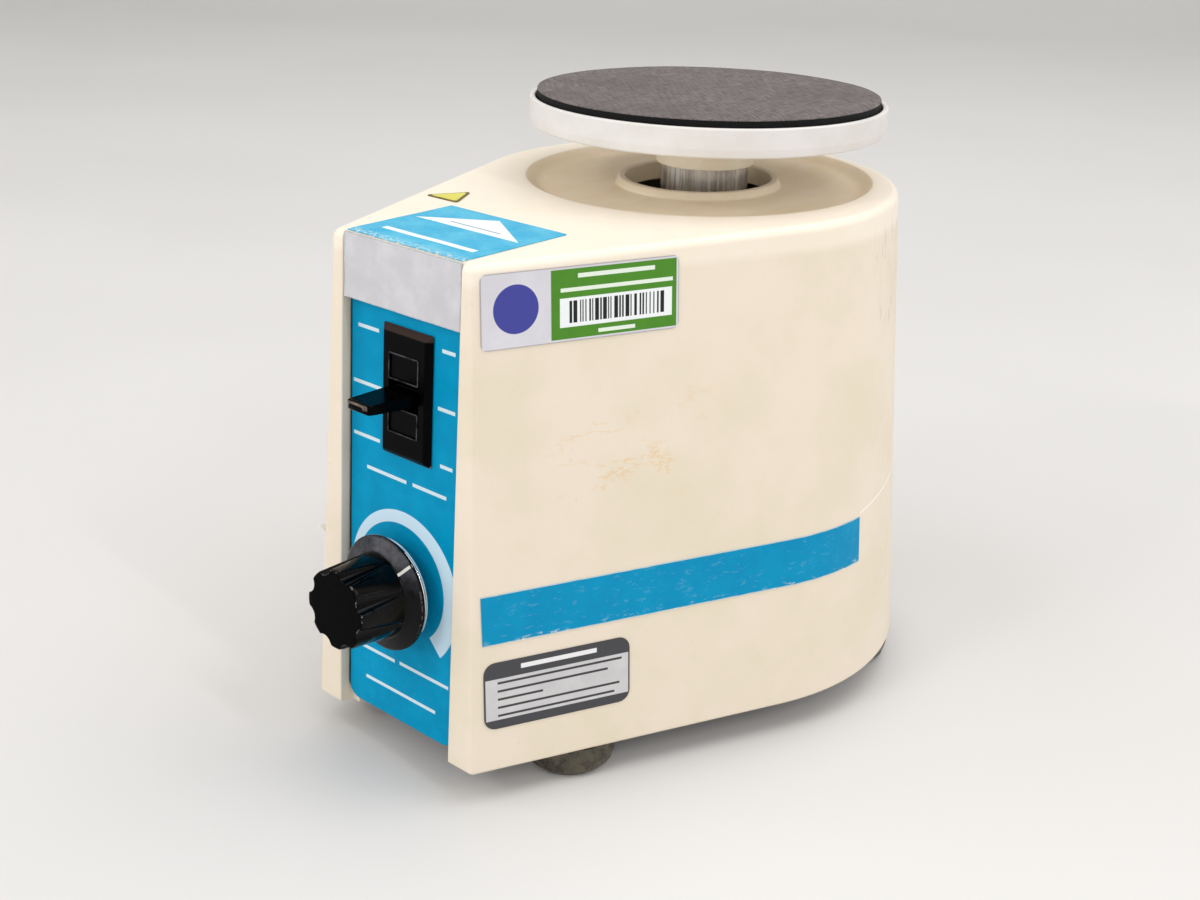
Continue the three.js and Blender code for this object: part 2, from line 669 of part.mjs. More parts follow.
const assembly = new THREE.Group();
const front = new THREE.Group();
const top = new THREE.Group();
front.applyMatrix4(frontFrame);
top.applyMatrix4(topFrame);
assembly.add(front, top);

const cream = ["#efe4cd", 0.45, 0];
const white = ["#f4f2ee", 0.4, 0];
const blue = ["#0b8fc4", 0.4, 0];
const black = ["#101012", 0.25, 0];
const darkRubber = ["#3a3a3c", 0.9, 0];
const amberRubber = ["#b5a988", 0.5, 0];
const brownRubber = ["#5a3420", 0.8, 0];
const steel = ["#8f9296", 0.35, 0.9];
const aluminium = ["#c3c4c6", 0.35, 0.9];
const copper = ["#a85c2c", 0.4, 0.8];
const board = ["#1f6b3a", 0.6, 0];
const yellow = ["#e8d429", 0.5, 0];
const green = ["#4fae3f", 0.5, 0];
const slate = ["#4a4c50", 0.5, 0];

function add(name, made, [color, roughness, metalness], group = assembly) {
  const material = new THREE.MeshStandardMaterial({ color, roughness, metalness });
  const mesh = new THREE.Mesh(geometryOf(made), material);
  mesh.name = name;
  group.add(mesh);
}

add("housing", housing(), cream);
add("base_plate", basePlate(), steel);
for (const spot of feet) {
  add(`foot_${spot.name}`, foot(spot), amberRubber);
  add(`foot_screw_${spot.name}`, footScrew(spot), steel);
}
add("right_stripe", stripe(1), blue);
add("left_stripe", stripe(-1), blue);

add("front_panel", frontPanel(), blue, front);
const plateMiddle = [0, (NAMEPLATE.bottom + NAMEPLATE.top) / 2];
const plateOutline = rounded(39.8, NAMEPLATE.top - NAMEPLATE.bottom, 0.5, plateMiddle, 2);
add("nameplate", facing(plate(plateOutline, [-LABEL, 0]), { y: NAMEPLATE.inset }), white, front);
add("switch_body", switchBody(), black, front);
add("switch_lever", switchLever(), black, front);
add("speed_control_body", potBody(), steel, front);
add("speed_control_nut", potNut(), steel, front);
add("speed_control_shaft", potShaft(), steel, front);
add("knob", knob(), black, front);
add("knob_ring", knobRing(), aluminium, front);

add("top_label", plate(rounded(39.2, 32.7, 0.6, [0, -82.65], 1), [SKIN, SKIN + LABEL]), blue, top);
const TRIANGLE_SIDE = 12;
const triangle = [-90, 30, 150].map((degrees) => {
  const angle = THREE.MathUtils.degToRad(degrees + 60);
  const reach = TRIANGLE_SIDE / Math.sqrt(3);
  return [-27.2 + reach * Math.cos(angle), -59.5 + reach * Math.sin(angle)];
});
add("triangle_label", plate(triangle, [SKIN, SKIN + LABEL]), yellow, top);
add("asset_label", sideLabel([4.7, 55.3], [105, 122.2], 1.5), green);
add("notice_label", sideLabel([3.7, 42.4], [11.5, 28.9], 3), slate);

add("power_inlet", inletBody(), black);
inletPins().forEach((pin, index) => add(`inlet_pin_${PINS[index].name}`, pin, steel));

add("circuit_board", block([-17, 17], [BOARD_Y, BOARD_Y + 1.6], [12, 70]), board);
add("heat_sink", heatSink(), aluminium);
add("capacitor", plate(rounded(9, 9.6, 1.5, [10, BOARD_Y + 6.7], 2), [46, 64]), slate);
add("touch_switch_bracket", touchBracket(), steel);
add("touch_switch", touchSwitch(), black);
const plungerSpan = [TOUCH.bottom + 6, CARRIAGE.bottom - GAP];
add("touch_switch_plunger", post(PLUNGER_RADIUS, plungerSpan, { y: TOUCH.y, sides: 16 }), white);

for (const [name, x] of [["left", -POST_X], ["right", POST_X]]) {
  add(`guide_post_${name}`, guidePost(x), steel);
  add(`press_spring_${name}`, pressSpring(x), steel);
  const span = [CARRIAGE.top + GAP, CARRIAGE.top + 5];
  add(`stop_bush_${name}`, ring(6.5, POST_RADIUS + SKIN, span, { x, y: AXIS_Y }), darkRubber);
}
add("motor_carriage", motorCarriage(), aluminium);
add("upper_bearing", bearing(99.5, 106.5), steel);
add("lower_bearing", bearing(23.7, 30.5), steel);
add("lower_bracket", lowerBracket(), aluminium);
add("stator_core", statorCore(), steel);
add("field_winding", fieldWinding(), copper);
add("motor_bolt_front", motorBolt(-BOLT_OFFSET), steel);
add("motor_bolt_rear", motorBolt(BOLT_OFFSET), steel);
add("dust_boot", dustBoot(), brownRubber);

add("motor_shaft", post(SHAFT_RADIUS, [21, 110.7], ON_AXIS), steel);
add("rotor_core", ring(20, SHAFT_RADIUS + SKIN, [CORE.bottom, CORE.top], ON_AXIS), steel);
add("cooling_fan", fan(), black);
add("eccentric_hub", eccentricHub(), steel);

add("sleeve", sleeve(), aluminium);
add("sleeve_bearing", ring(8, SHAFT_RADIUS + RUNNING, [113.8, 126], ON_HEAD), steel);
add("platform_boss", hubBoss(), cream);
add("platform_tray", tray(), white);
add("platform_screw", headScrew(), steel);
add("platform_mat", post(MAT_RADIUS, [TRAY_FLOOR + GAP, MAT_TOP], { ...ON_HEAD, sides: FINE }), darkRubber);

// The origin moves to the centre of the bounding box's base.
const bounds = new THREE.Box3().setFromObject(assembly, true);
const middle = bounds.getCenter(new THREE.Vector3());
assembly.position.set(-middle.x, -middle.y, -bounds.min.z);

const shaker = new THREE.Group();
shaker.add(assembly);
export default shaker;
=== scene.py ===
import json
import math
import random

import bmesh
import bpy
from mathutils import Matrix, Vector, noise


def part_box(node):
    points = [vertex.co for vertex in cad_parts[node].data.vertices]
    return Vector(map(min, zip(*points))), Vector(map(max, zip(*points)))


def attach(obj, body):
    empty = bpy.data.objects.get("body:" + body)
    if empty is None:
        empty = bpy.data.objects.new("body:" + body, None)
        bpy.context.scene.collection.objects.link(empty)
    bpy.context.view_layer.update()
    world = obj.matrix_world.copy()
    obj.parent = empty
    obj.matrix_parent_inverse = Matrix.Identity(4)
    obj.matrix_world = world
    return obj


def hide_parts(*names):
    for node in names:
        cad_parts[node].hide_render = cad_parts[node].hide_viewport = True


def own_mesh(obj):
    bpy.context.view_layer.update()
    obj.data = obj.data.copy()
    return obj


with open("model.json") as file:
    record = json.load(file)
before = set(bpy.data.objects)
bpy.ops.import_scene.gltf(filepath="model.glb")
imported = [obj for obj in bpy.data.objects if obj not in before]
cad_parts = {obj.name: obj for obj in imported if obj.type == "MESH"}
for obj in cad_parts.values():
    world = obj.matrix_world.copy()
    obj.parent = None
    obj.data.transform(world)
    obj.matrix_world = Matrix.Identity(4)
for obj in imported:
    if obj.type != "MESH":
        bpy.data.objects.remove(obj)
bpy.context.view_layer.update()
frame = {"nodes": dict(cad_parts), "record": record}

random.seed(7)

# ---- Driving dimensions, in millimetres, in the casing's own frame --------------------------------
# The front faces -Y and z is 0 at the casing's bottom edge.

CASE_HEIGHT = 126
BOTTOM = {"radius": 66.6, "front": 105.6, "half": 28.75}
TOP = {"radius": 56.9, "front": 100.25, "half": 23.85}
TOP_SLOPE = 0.0187
WALL = 3
FRONT_WALL = 6.5
ROOF = 4.9
EDGE = 2
BOTTOM_EDGE = 1
CORNER = 1.4
FOOT_DROP = 8.5

CHANNEL_HALF = 20.3
CHANNEL_DEPTH = 3.9
SEAT_DEPTH = 0.9
PANEL_DEPTH = 2.4
OPENING_HALF = 17.5  # of the casing's opening behind the panel
PANEL = {"half": 19.75, "bottom": 2.4, "top": 108.2, "corner": 4, "thickness": 1.2}
WINDOW = (7.3, 14.6)  # in the panel, for the switch: half its width and half its height
CONTROL_HOLE = 5.1
NAMEPLATE = {"half": 20, "bottom": 108.5, "top": 124.1, "depth": 0.5}

AXIS_Y = 6.3
ECCENTRIC = 2
DISH_RADIUS = 46.8
DISH_DEPTH = 2.1
LIP_RADIUS = 21.6
HOLE_RADIUS = 19.8
SLEEVE_RADIUS = 11.75
SLEEVE = {"bore": 11.2, "bottom": 113.2, "top": 136}
BOSS_RADIUS = 13.1
BOSS_BOTTOM = 130.1
BOSS_FLOOR = 136.4  # of the bore that takes the sleeve
BOSS_TOP = 139.5
TRAY_RADIUS = 47.4
TRAY_INNER = 45.95
MAT_RADIUS = 45.55
TRAY = {"bottom": 139.8, "floor": 143, "top": 147.1}
MAT = {"bottom": 143.3, "top": 149}

KNOB_UP = 39.5
RING = {"radius": 13.7, "bore": 6, "back": 3.7, "front": 4.8}
KNOB_BACK = 5.1
KNOB_TIP = 20.78
SKIRT_RADIUS = 14.5
SKIRT_FACE = (5.6, 7.8)  # heights between which the pointer is printed
FLUTES = 8
FLUTE_REACH = 11.1  # from the knob's axis to the middle of a flute
FLUTE_START = 8.2
FLUTE_LENGTH = 12.6
FLUTE_RADII = (0.9, 2.75)  # where it starts and at the tip
FLUTE_LIP = 0.05  # softens a flute's edge

SWITCH_X = 1.3
SWITCH_UP = 88.9
BEZEL = {"width": 17.1, "height": 32, "chamfer": 1.4, "proud": 1.7}
SLOT = (5.2, 3.3)  # of the lever, in the bezel: half its width and half its height
WELL = (5.6, 7)  # round the slot, behind the bezel's face
SWITCH_BOX = {"width": 14, "height": 28.6, "depth": 18}
FRAMES = {"width": 10.4, "near": 3.3, "far": 9.8, "rib": 0.32}  # raised, above and below the slot
LEVER_DEPTH = 5
LEVER_LENGTH = 18.55
LEVER_ROOT = (4.95, 1.9)  # half its width and half its thickness
LEVER_TIP = (4.1, 1.1)
LEVER_CORNER = 1.9
LEVER_EDGE = 0.5
LEVER_HUB = (3.55, 5.1)  # radius and half length
SPRING_WIRE = 0.8
SPRING_TURNS = 5

STRIPE = {"bottom": 33.5, "top": 46.3, "back": 2.2, "front": 2.6}
ASSET = {"along": (4.7, 55.3), "up": (105, 122.2), "corner": 1.5}
TOP_LABEL = {"half": 19.7, "front": -99.3, "back": -66.3}
TRIANGLE = {"middle": (-27.2, -59.5), "side": 12, "inner_side": 9.6}
NOTICE = {"along": (3.7, 42.4), "up": (11.5, 28.9), "corner": 3}
FILM = 0.24

INLET_Z = 30
INLET_FLAT = 61.5
INLET_RECESS = (16.5, 12.5)  # half the width and half the height of the flat round the inlet
INLET_OPENING = (14.1, 10.4)
INLET_FLANGE = (30.6, 23.4)
INLET_BOX = (27.2, 19.8)
INLET_DEPTH = 17.5
INLET_MOUTH = 13.3
PINS = {"live": (7, -2.2), "neutral": (-7, -2.2), "earth": (0, 1.8)}
FOOT = {"radius": 11.8, "well": 4.8, "bore": 2.2}
FEET = {
    "foot_front_right": (29.5, -72),
    "foot_front_left": (-29.5, -72),
    "foot_rear_right": (47.5, 26),
    "foot_rear_left": (-47.5, 26),
}

# ---- Frames of the faces --------------------------------------------------------------------------


def basis(x_axis, y_axis, z_axis, origin):
    """The matrix that carries a point from a frame with these axes to the casing's frame."""
    rotation = Matrix((x_axis, y_axis, z_axis)).transposed()
    return Matrix.Translation(origin) @ rotation.to_4x4()


tray_low, tray_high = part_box("platform_tray")
to_row = Vector((0, (tray_low.y + tray_high.y) / 2 - AXIS_Y / 1000, FOOT_DROP / 1000))
ROW = Matrix.Translation(to_row) @ Matrix.Scale(0.001, 4)

# Front face: x across, y up the raked face, z out of it.
RAKE = math.atan((BOTTOM["front"] - TOP["front"]) / CASE_HEIGHT)
FRONT = basis(
    (1, 0, 0),
    (0, math.sin(RAKE), math.cos(RAKE)),
    (0, -math.cos(RAKE), math.sin(RAKE)),
    (0, -BOTTOM["front"], 0),
)
PANEL_FACE = FRONT @ Matrix.Translation((0, 0, -PANEL_DEPTH))

# Top face: x across, y back, z out of it.
TOP_FACE = Matrix.Translation((0, 0, CASE_HEIGHT)) @ Matrix.Rotation(math.atan(TOP_SLOPE), 4, "X")
# Flat round the inlet: x to the right as seen from behind, y up, z out of the back.
BACK_FLAT = basis((-1, 0, 0), (0, 0, 1), (0, 1, 0), (0, INLET_FLAT, INLET_Z))
BACK = BACK_FLAT @ Matrix.Translation((0, 0, 0.3))

HEAD = Matrix.Translation((ECCENTRIC, AXIS_Y, 0))
AXIS = Matrix.Translation((0, AXIS_Y, 0))


def mix(low, high, share):
    return low + (high - low) * share


def polar(radius, angle):
    return radius * Vector((math.cos(angle), math.sin(angle)))


def round_point(radius, angle, z):
    return radius * math.cos(angle), radius * math.sin(angle), z


def plan(height, inset=0):
    """The plan's sizes at a height, drawn in by inset, and the angle at which its sides meet the back."""
    share = height / CASE_HEIGHT
    radius, front, half = (mix(BOTTOM[key], TOP[key], share) for key in ("radius", "front", "half"))
    tangent = math.acos(radius / math.hypot(half, front)) - math.atan2(front, half)
    shift = (1 + math.sin(tangent)) / math.cos(tangent)
    return radius - inset, front - inset, half - inset * shift, tangent


def lift(y, height):
    """How much higher a point of the plan lies because the top slopes."""
    return TOP_SLOPE * y * height / CASE_HEIGHT


def side_point(y, z, out=0, side=1):
    """A point on the casing's right (1) or left (-1) side, pushed outwards."""
    height = z / (1 + TOP_SLOPE * y / CASE_HEIGHT)
    radius, front, half, tangent = plan(height)
    meet = Vector((radius * math.cos(tangent), radius * math.sin(tangent)))
    if y < meet.y:
        share = (y + front) / (meet.y + front)
        normal = meet.normalized()
        x = mix(half, meet.x, share)
    else:
        x = math.sqrt(radius * radius - y * y)
        normal = Vector((x, y)).normalized()
    return Vector((side * (x + out * normal.x), y + out * normal.y, z))


def side_face():
    """Right side: x back from the front edge, y up the drafted face, z out of it."""
    corner = Vector((BOTTOM["half"], -BOTTOM["front"], 0))
    above = Vector((TOP["half"], -TOP["front"], CASE_HEIGHT)) - corner
    radius, _, _, tangent = plan(0)
    along = (Vector((radius * math.cos(tangent), radius * math.sin(tangent), 0)) - corner).normalized()
    inward = above.cross(along).normalized()
    return basis(along, along.cross(inward), -inward, corner)


SIDE = side_face()

# ---- Mesh tools -----------------------------------------------------------------------------------


class Shape:
    """Points and faces of one piece, in millimetres."""

    def __init__(self):
        self.points = []
        self.faces = []
        self.print = None

    def ring(self, points):
        start = len(self.points)
        self.points.extend(Vector(point) for point in points)
        return list(range(start, len(self.points)))

    def bridge(self, low, high, closed=True):
        count = len(low)
        for i in range(count if closed else count - 1):
            j = (i + 1) % count
            self.faces.append((low[i], low[j], high[j], high[i]))

    def cap(self, ring):
        self.faces.append(tuple(ring))

    def loft(self, rings, capped=True):
        made = [self.ring(points) for points in rings]
        for low, high in zip(made, made[1:]):
            self.bridge(low, high)
        if capped:
            self.cap(made[0])
            self.cap(made[-1])
        return made

    def moved(self, matrix):
        self.points = [matrix @ point for point in self.points]


def rounded(corners, steps=4, closed=True):
    """A path through corners (x, y, radius), each rounded to its radius."""
    path = []
    count = len(corners)
    for i, (x, y, radius) in enumerate(corners):
        here = Vector((x, y))
        if radius == 0 or (not closed and i in (0, count - 1)):
            path.append(here)
            continue
        before = (Vector(corners[i - 1][:2]) - here).normalized()
        after = (Vector(corners[(i + 1) % count][:2]) - here).normalized()
        half_angle = before.angle(after) / 2
        centre = here + (before + after).normalized() * radius / math.sin(half_angle)
        start = here + before * radius / math.tan(half_angle) - centre
        end = here + after * radius / math.tan(half_angle) - centre
        first = math.atan2(start.y, start.x)
        turn = (math.atan2(end.y, end.x) - first + math.pi) % (2 * math.pi) - math.pi
        for step in range(steps + 1):
            angle = first + turn * step / steps
            path.append(centre + polar(radius, angle))
    return path


def rectangle(width, height, radius, middle=(0, 0)):
    """The outline of a rectangle with rounded corners."""
    x, y = middle
    corners = []
    for across, up in ((1, 1), (-1, 1), (-1, -1), (1, -1)):
        corners.append((x + across * width / 2, y + up * height / 2, radius))
    return rounded(corners)


def quarter(radius, steps=4):
    """(inset, drop) pairs of a rounded edge, from its side to its face."""
    for step in range(steps + 1):
        angle = math.pi / 2 * step / steps
        yield radius * (1 - math.cos(angle)), radius * (1 - math.sin(angle))


def rounding(beyond, radius):
    """How far a rounded end draws in, this far beyond the start of its rounding."""
    beyond = max(0, beyond)
    return radius - math.sqrt(max(radius * radius - beyond * beyond, 0))


def slab(width, height, corner, low, high, edge, middle=(0, 0)):
    """A rectangular plate with rounded corners and a rounded upper edge."""
    shape = Shape()
    rings = [[(p.x, p.y, low) for p in rectangle(width, height, corner, middle)]]
    for inset, drop in quarter(edge):
        outline = rectangle(width - 2 * inset, height - 2 * inset, max(corner - inset, 0.05), middle)
        rings.append([(p.x, p.y, high - drop) for p in outline])
    shape.loft(rings)
    return shape


def turned(profile, segments=96, steps=4, closed=False):
    """A turned solid from corners (radius, height, rounding); an open profile ends on the axis."""
    shape = Shape()
    rings = []
    for radius, z in rounded(profile, steps, closed):
        radius = max(radius, 0.02)
        rings.append([round_point(radius, 2 * math.pi * i / segments, z) for i in range(segments)])
    made = shape.loft(rings, capped=not closed)
    if closed:
        shape.bridge(made[-1], made[0])
    return shape


def box_shape(x, y, z):
    """A box between two x, two y and two z."""
    shape = Shape()
    corners = ((x[0], y[0]), (x[1], y[0]), (x[1], y[1]), (x[0], y[1]))
    shape.loft([[(*corner, height) for corner in corners] for height in z])
    return shape


def centred(half_width, half_height, z, middle=(0, 0)):
    """A box round a middle, between two z."""
    x, y = middle
    return box_shape((x - half_width, x + half_width), (y - half_height, y + half_height), z)


def film(across, up, corners, columns, rows, surface, thickness=FILM, lift_from=0.03):
    """A thin layer over surface(u, v, out), with print coordinates and two corner radii, low and high."""
    shape = Shape()
    low, high = corners
    bends = [1 - math.cos(math.pi / 2 * step / 5) for step in range(6)]
    levels = [up[0] + low * bend for bend in bends]
    levels += [mix(up[0] + low, up[1] - high, row / rows) for row in range(1, rows)]
    levels += [up[1] - high * bend for bend in reversed(bends)]
    shape.print = []
    grid = []
    for v in levels:
        corner, distance = (low, v - up[0]) if v - up[0] < low else (high, up[1] - v)
        margin = rounding(corner - distance, corner)
        ends = (across[0] + margin, across[1] - margin)
        grid.append([(mix(*ends, column / columns), v) for column in range(columns + 1)])
    layers = []
    for out in (lift_from, thickness):
        layers.append([shape.ring(surface(u, v, out) for u, v in row) for row in grid])
        shape.print.extend(uv for row in grid for uv in row)
    borders = []
    for layer in layers:
        for low, high in zip(layer, layer[1:]):
            shape.bridge(low, high, closed=False)
        there = layer[0] + [row[-1] for row in layer[1:]]
        borders.append(there + layer[-1][-2::-1] + [row[0] for row in layer[-2:0:-1]])
    shape.bridge(*borders)
    return shape


def mesh_of(name, shape, matrix, angle=35):
    """An object from a shape: welded, facing out, smooth with sharp edges kept."""
    mesh = bpy.data.meshes.new(name)
    mesh.from_pydata([matrix @ point for point in shape.points], [], shape.faces)
    if shape.print is not None:
        layer = mesh.uv_layers.new(name="print")
        for loop in mesh.loops:
            layer.data[loop.index].uv = shape.print[loop.vertex_index]
    made = bmesh.new()
    made.from_mesh(mesh)
    bmesh.ops.remove_doubles(made, verts=made.verts, dist=1e-6)
    bmesh.ops.recalc_face_normals(made, faces=made.faces)
    made.to_mesh(mesh)
    made.free()
    finish_mesh(mesh, angle)
    obj = bpy.data.objects.new(name, mesh)
    bpy.context.scene.collection.objects.link(obj)
    return obj


def finish_mesh(mesh, angle):
    mesh.polygons.foreach_set("use_smooth", [True] * len(mesh.polygons))
    mesh.set_sharp_from_angle(angle=math.radians(angle))


def applied(obj):
    """Puts the result of the object's modifiers in its mesh."""
    bpy.context.view_layer.update()
    evaluated = obj.evaluated_get(bpy.context.evaluated_depsgraph_get())
    mesh = bpy.data.meshes.new_from_object(evaluated)
    obj.modifiers.clear()
    obj.data = mesh
    return obj


def carve(obj, *cutters, operation="DIFFERENCE", angle=35):
    """Cuts shapes, already in the row frame, out of the object."""
    helpers = []
    for index, (shape, matrix) in enumerate(cutters):
        helper = mesh_of(f"cutter_{index}", shape, matrix)
        modifier = obj.modifiers.new(f"cut_{index}", "BOOLEAN")
        modifier.operation = operation
        modifier.solver = "EXACT"
        modifier.object = helper
        helpers.append(helper)
    applied(obj)
    for helper in helpers:
        bpy.data.objects.remove(helper)
    finish_mesh(obj.data, angle)
    return obj


def piece(obj, look, body, replaces):
    """Gives a finished object its material and its place in the model."""
    obj.data.materials.clear()
    obj.data.materials.append(LOOKS[look])
    weighted = obj.modifiers.new("normals", "WEIGHTED_NORMAL")
    weighted.keep_sharp = True
    weighted.weight = 80
    applied(obj)
    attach(obj, body)
    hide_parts(*replaces)


# ---- Material tools -------------------------------------------------------------------------------


def rgb(red, green, blue):
    """A screen colour, 0 to 255, as the shader's linear colour."""
    def linear(share):
        return share / 12.92 if share <= 0.04045 else ((share + 0.055) / 1.055) ** 2.4
    return *(linear(value / 255) for value in (red, green, blue)), 1


class Look:
    """A material's node tree, with short ways to write what a surface does."""

    def __init__(self, name, roughness=0.5, metallic=0, specular=0.5):
        self.material = bpy.data.materials.new(name)
        self.material.use_nodes = True
        self.tree = self.material.node_tree
        self.shader = self.tree.nodes["Principled BSDF"]
        values = {"Roughness": roughness, "Metallic": metallic, "Specular IOR Level": specular}
        for key, value in values.items():
            self.put(self.shader.inputs[key], value)
        coordinates = self.tree.nodes.new("ShaderNodeTexCoord")
        scaled = self.node("ShaderNodeVectorMath", coordinates.outputs["Object"], (1000, 1000, 1000))
        scaled.operation = "MULTIPLY"
        shift = self.node("ShaderNodeVectorMath", scaled.outputs[0], to_row * -1000)
        self.place = shift.outputs[0]
        split = self.node("ShaderNodeSeparateXYZ", self.place)
        self.x, self.y, self.z = split.outputs

    def node(self, kind, *values, **named):
        made = self.tree.nodes.new(kind)
        for key, value in [*enumerate(values), *named.items()]:
            self.put(made.inputs[key], value)
        return made

    def put(self, socket, value):
        if isinstance(value, bpy.types.NodeSocket):
            self.tree.links.new(value, socket)
        else:
            socket.default_value = value

    def math(self, operation, *values):
        made = self.node("ShaderNodeMath", *values)
        made.operation = operation
        return made.outputs[0]

    def fold(self, operation, values):
        """One value from many, taken two at a time."""
        whole = values[0]
        for value in values[1:]:
            whole = self.math(operation, whole, value)
        return whole

    def add(self, *values):
        return self.fold("ADD", values)

    def times(self, *values):
        return self.fold("MULTIPLY", values)

    def any_of(self, masks):
        return self.fold("MAXIMUM", masks)

    def minus(self, first, second):
        return self.math("SUBTRACT", first, second)

    def inverse(self, value):
        return self.minus(1, value)

    def apart(self, first, second):
        """How far two values lie apart."""
        return self.math("ABSOLUTE", self.minus(first, second))

    def away(self, across, up):
        """How far a point lies from the origin."""
        return self.math("SQRT", self.add(self.times(across, across), self.times(up, up)))

    def spread(self, value, low, high, to_low=0, to_high=1):
        made = self.node("ShaderNodeMapRange", value, low, high, to_low, to_high)
        made.interpolation_type = "SMOOTHSTEP"
        return made.outputs[0]

    def noise(self, scale, detail=3, roughness=0.5, stretch=None, place=None, distortion=0):
        place = self.place if place is None else place
        if stretch is not None:
            mapped = self.node("ShaderNodeVectorMath", place, stretch)
            mapped.operation = "MULTIPLY"
            place = mapped.outputs[0]
        values = {"Vector": place, "Scale": scale, "Detail": detail, "Roughness": roughness}
        return self.node("ShaderNodeTexNoise", **values, Distortion=distortion).outputs[0]

    def mix(self, share, first, second):
        made = self.tree.nodes.new("ShaderNodeMix")
        made.data_type = "RGBA"
        made.clamp_factor = True
        self.put(made.inputs[0], share)
        self.put(made.inputs[6], first)
        self.put(made.inputs[7], second)
        return made.outputs[2]

    def bump(self, *layers):
        """Bumps from (height, depth in millimetres) pairs, one on another."""
        normal = None
        for height, depth in layers:
            made = self.node("ShaderNodeBump", Strength=1, Distance=depth / 1000, Height=height)
            if normal is not None:
                self.put(made.inputs["Normal"], normal)
            normal = made.outputs[0]
        self.put(self.shader.inputs["Normal"], normal)

    def base(self, share, first, second):
        """Starts the surface's colour as two tones."""
        self.tone = self.mix(share, first, second)

    def paint(self, mask, colour, strength=1):
        """Lays a colour over the surface's, where the mask is 1."""
        mask = mask if strength == 1 else self.times(mask, strength)
        self.tone = self.mix(mask, self.tone, colour)

    def done(self):
        self.put(self.shader.inputs["Base Color"], self.tone)
        return self.material

    def roughness(self, value):
        self.put(self.shader.inputs["Roughness"], value)

    def gloss(self, pattern, low, high):
        """Roughness between two values, after a pattern."""
        self.roughness(self.spread(pattern, 0.3, 0.7, low, high))

    def use_print(self):
        """Makes u and v the print's coordinates on a film, in its own millimetres."""
        uv = self.node("ShaderNodeUVMap")
        uv.uv_map = "print"
        split = self.node("ShaderNodeSeparateXYZ", uv.outputs[0])
        self.u, self.v = split.outputs[0], split.outputs[1]

    def inside(self, value, low, high, soft=0.06):
        """1 where low < value < high, with a soft edge."""
        above = self.spread(value, low - soft, low + soft)
        below = self.spread(value, high + soft, high - soft)
        return self.times(above, below)

    def bar(self, u, v, soft=0.06):
        """A printed rectangle between two u and two v."""
        return self.times(self.inside(self.u, *u, soft), self.inside(self.v, *v, soft))

    def disc(self, middle, radius, soft=0.08):
        """A printed disc."""
        distance = self.away(self.minus(self.u, middle[0]), self.minus(self.v, middle[1]))
        return self.spread(distance, radius + soft, radius - soft)


# ---- Materials ------------------------------------------------------------------------------------

CREAM = rgb(233, 220, 202)
CREAM_DARK = rgb(206, 194, 168)
BLUE = rgb(0, 138, 184)


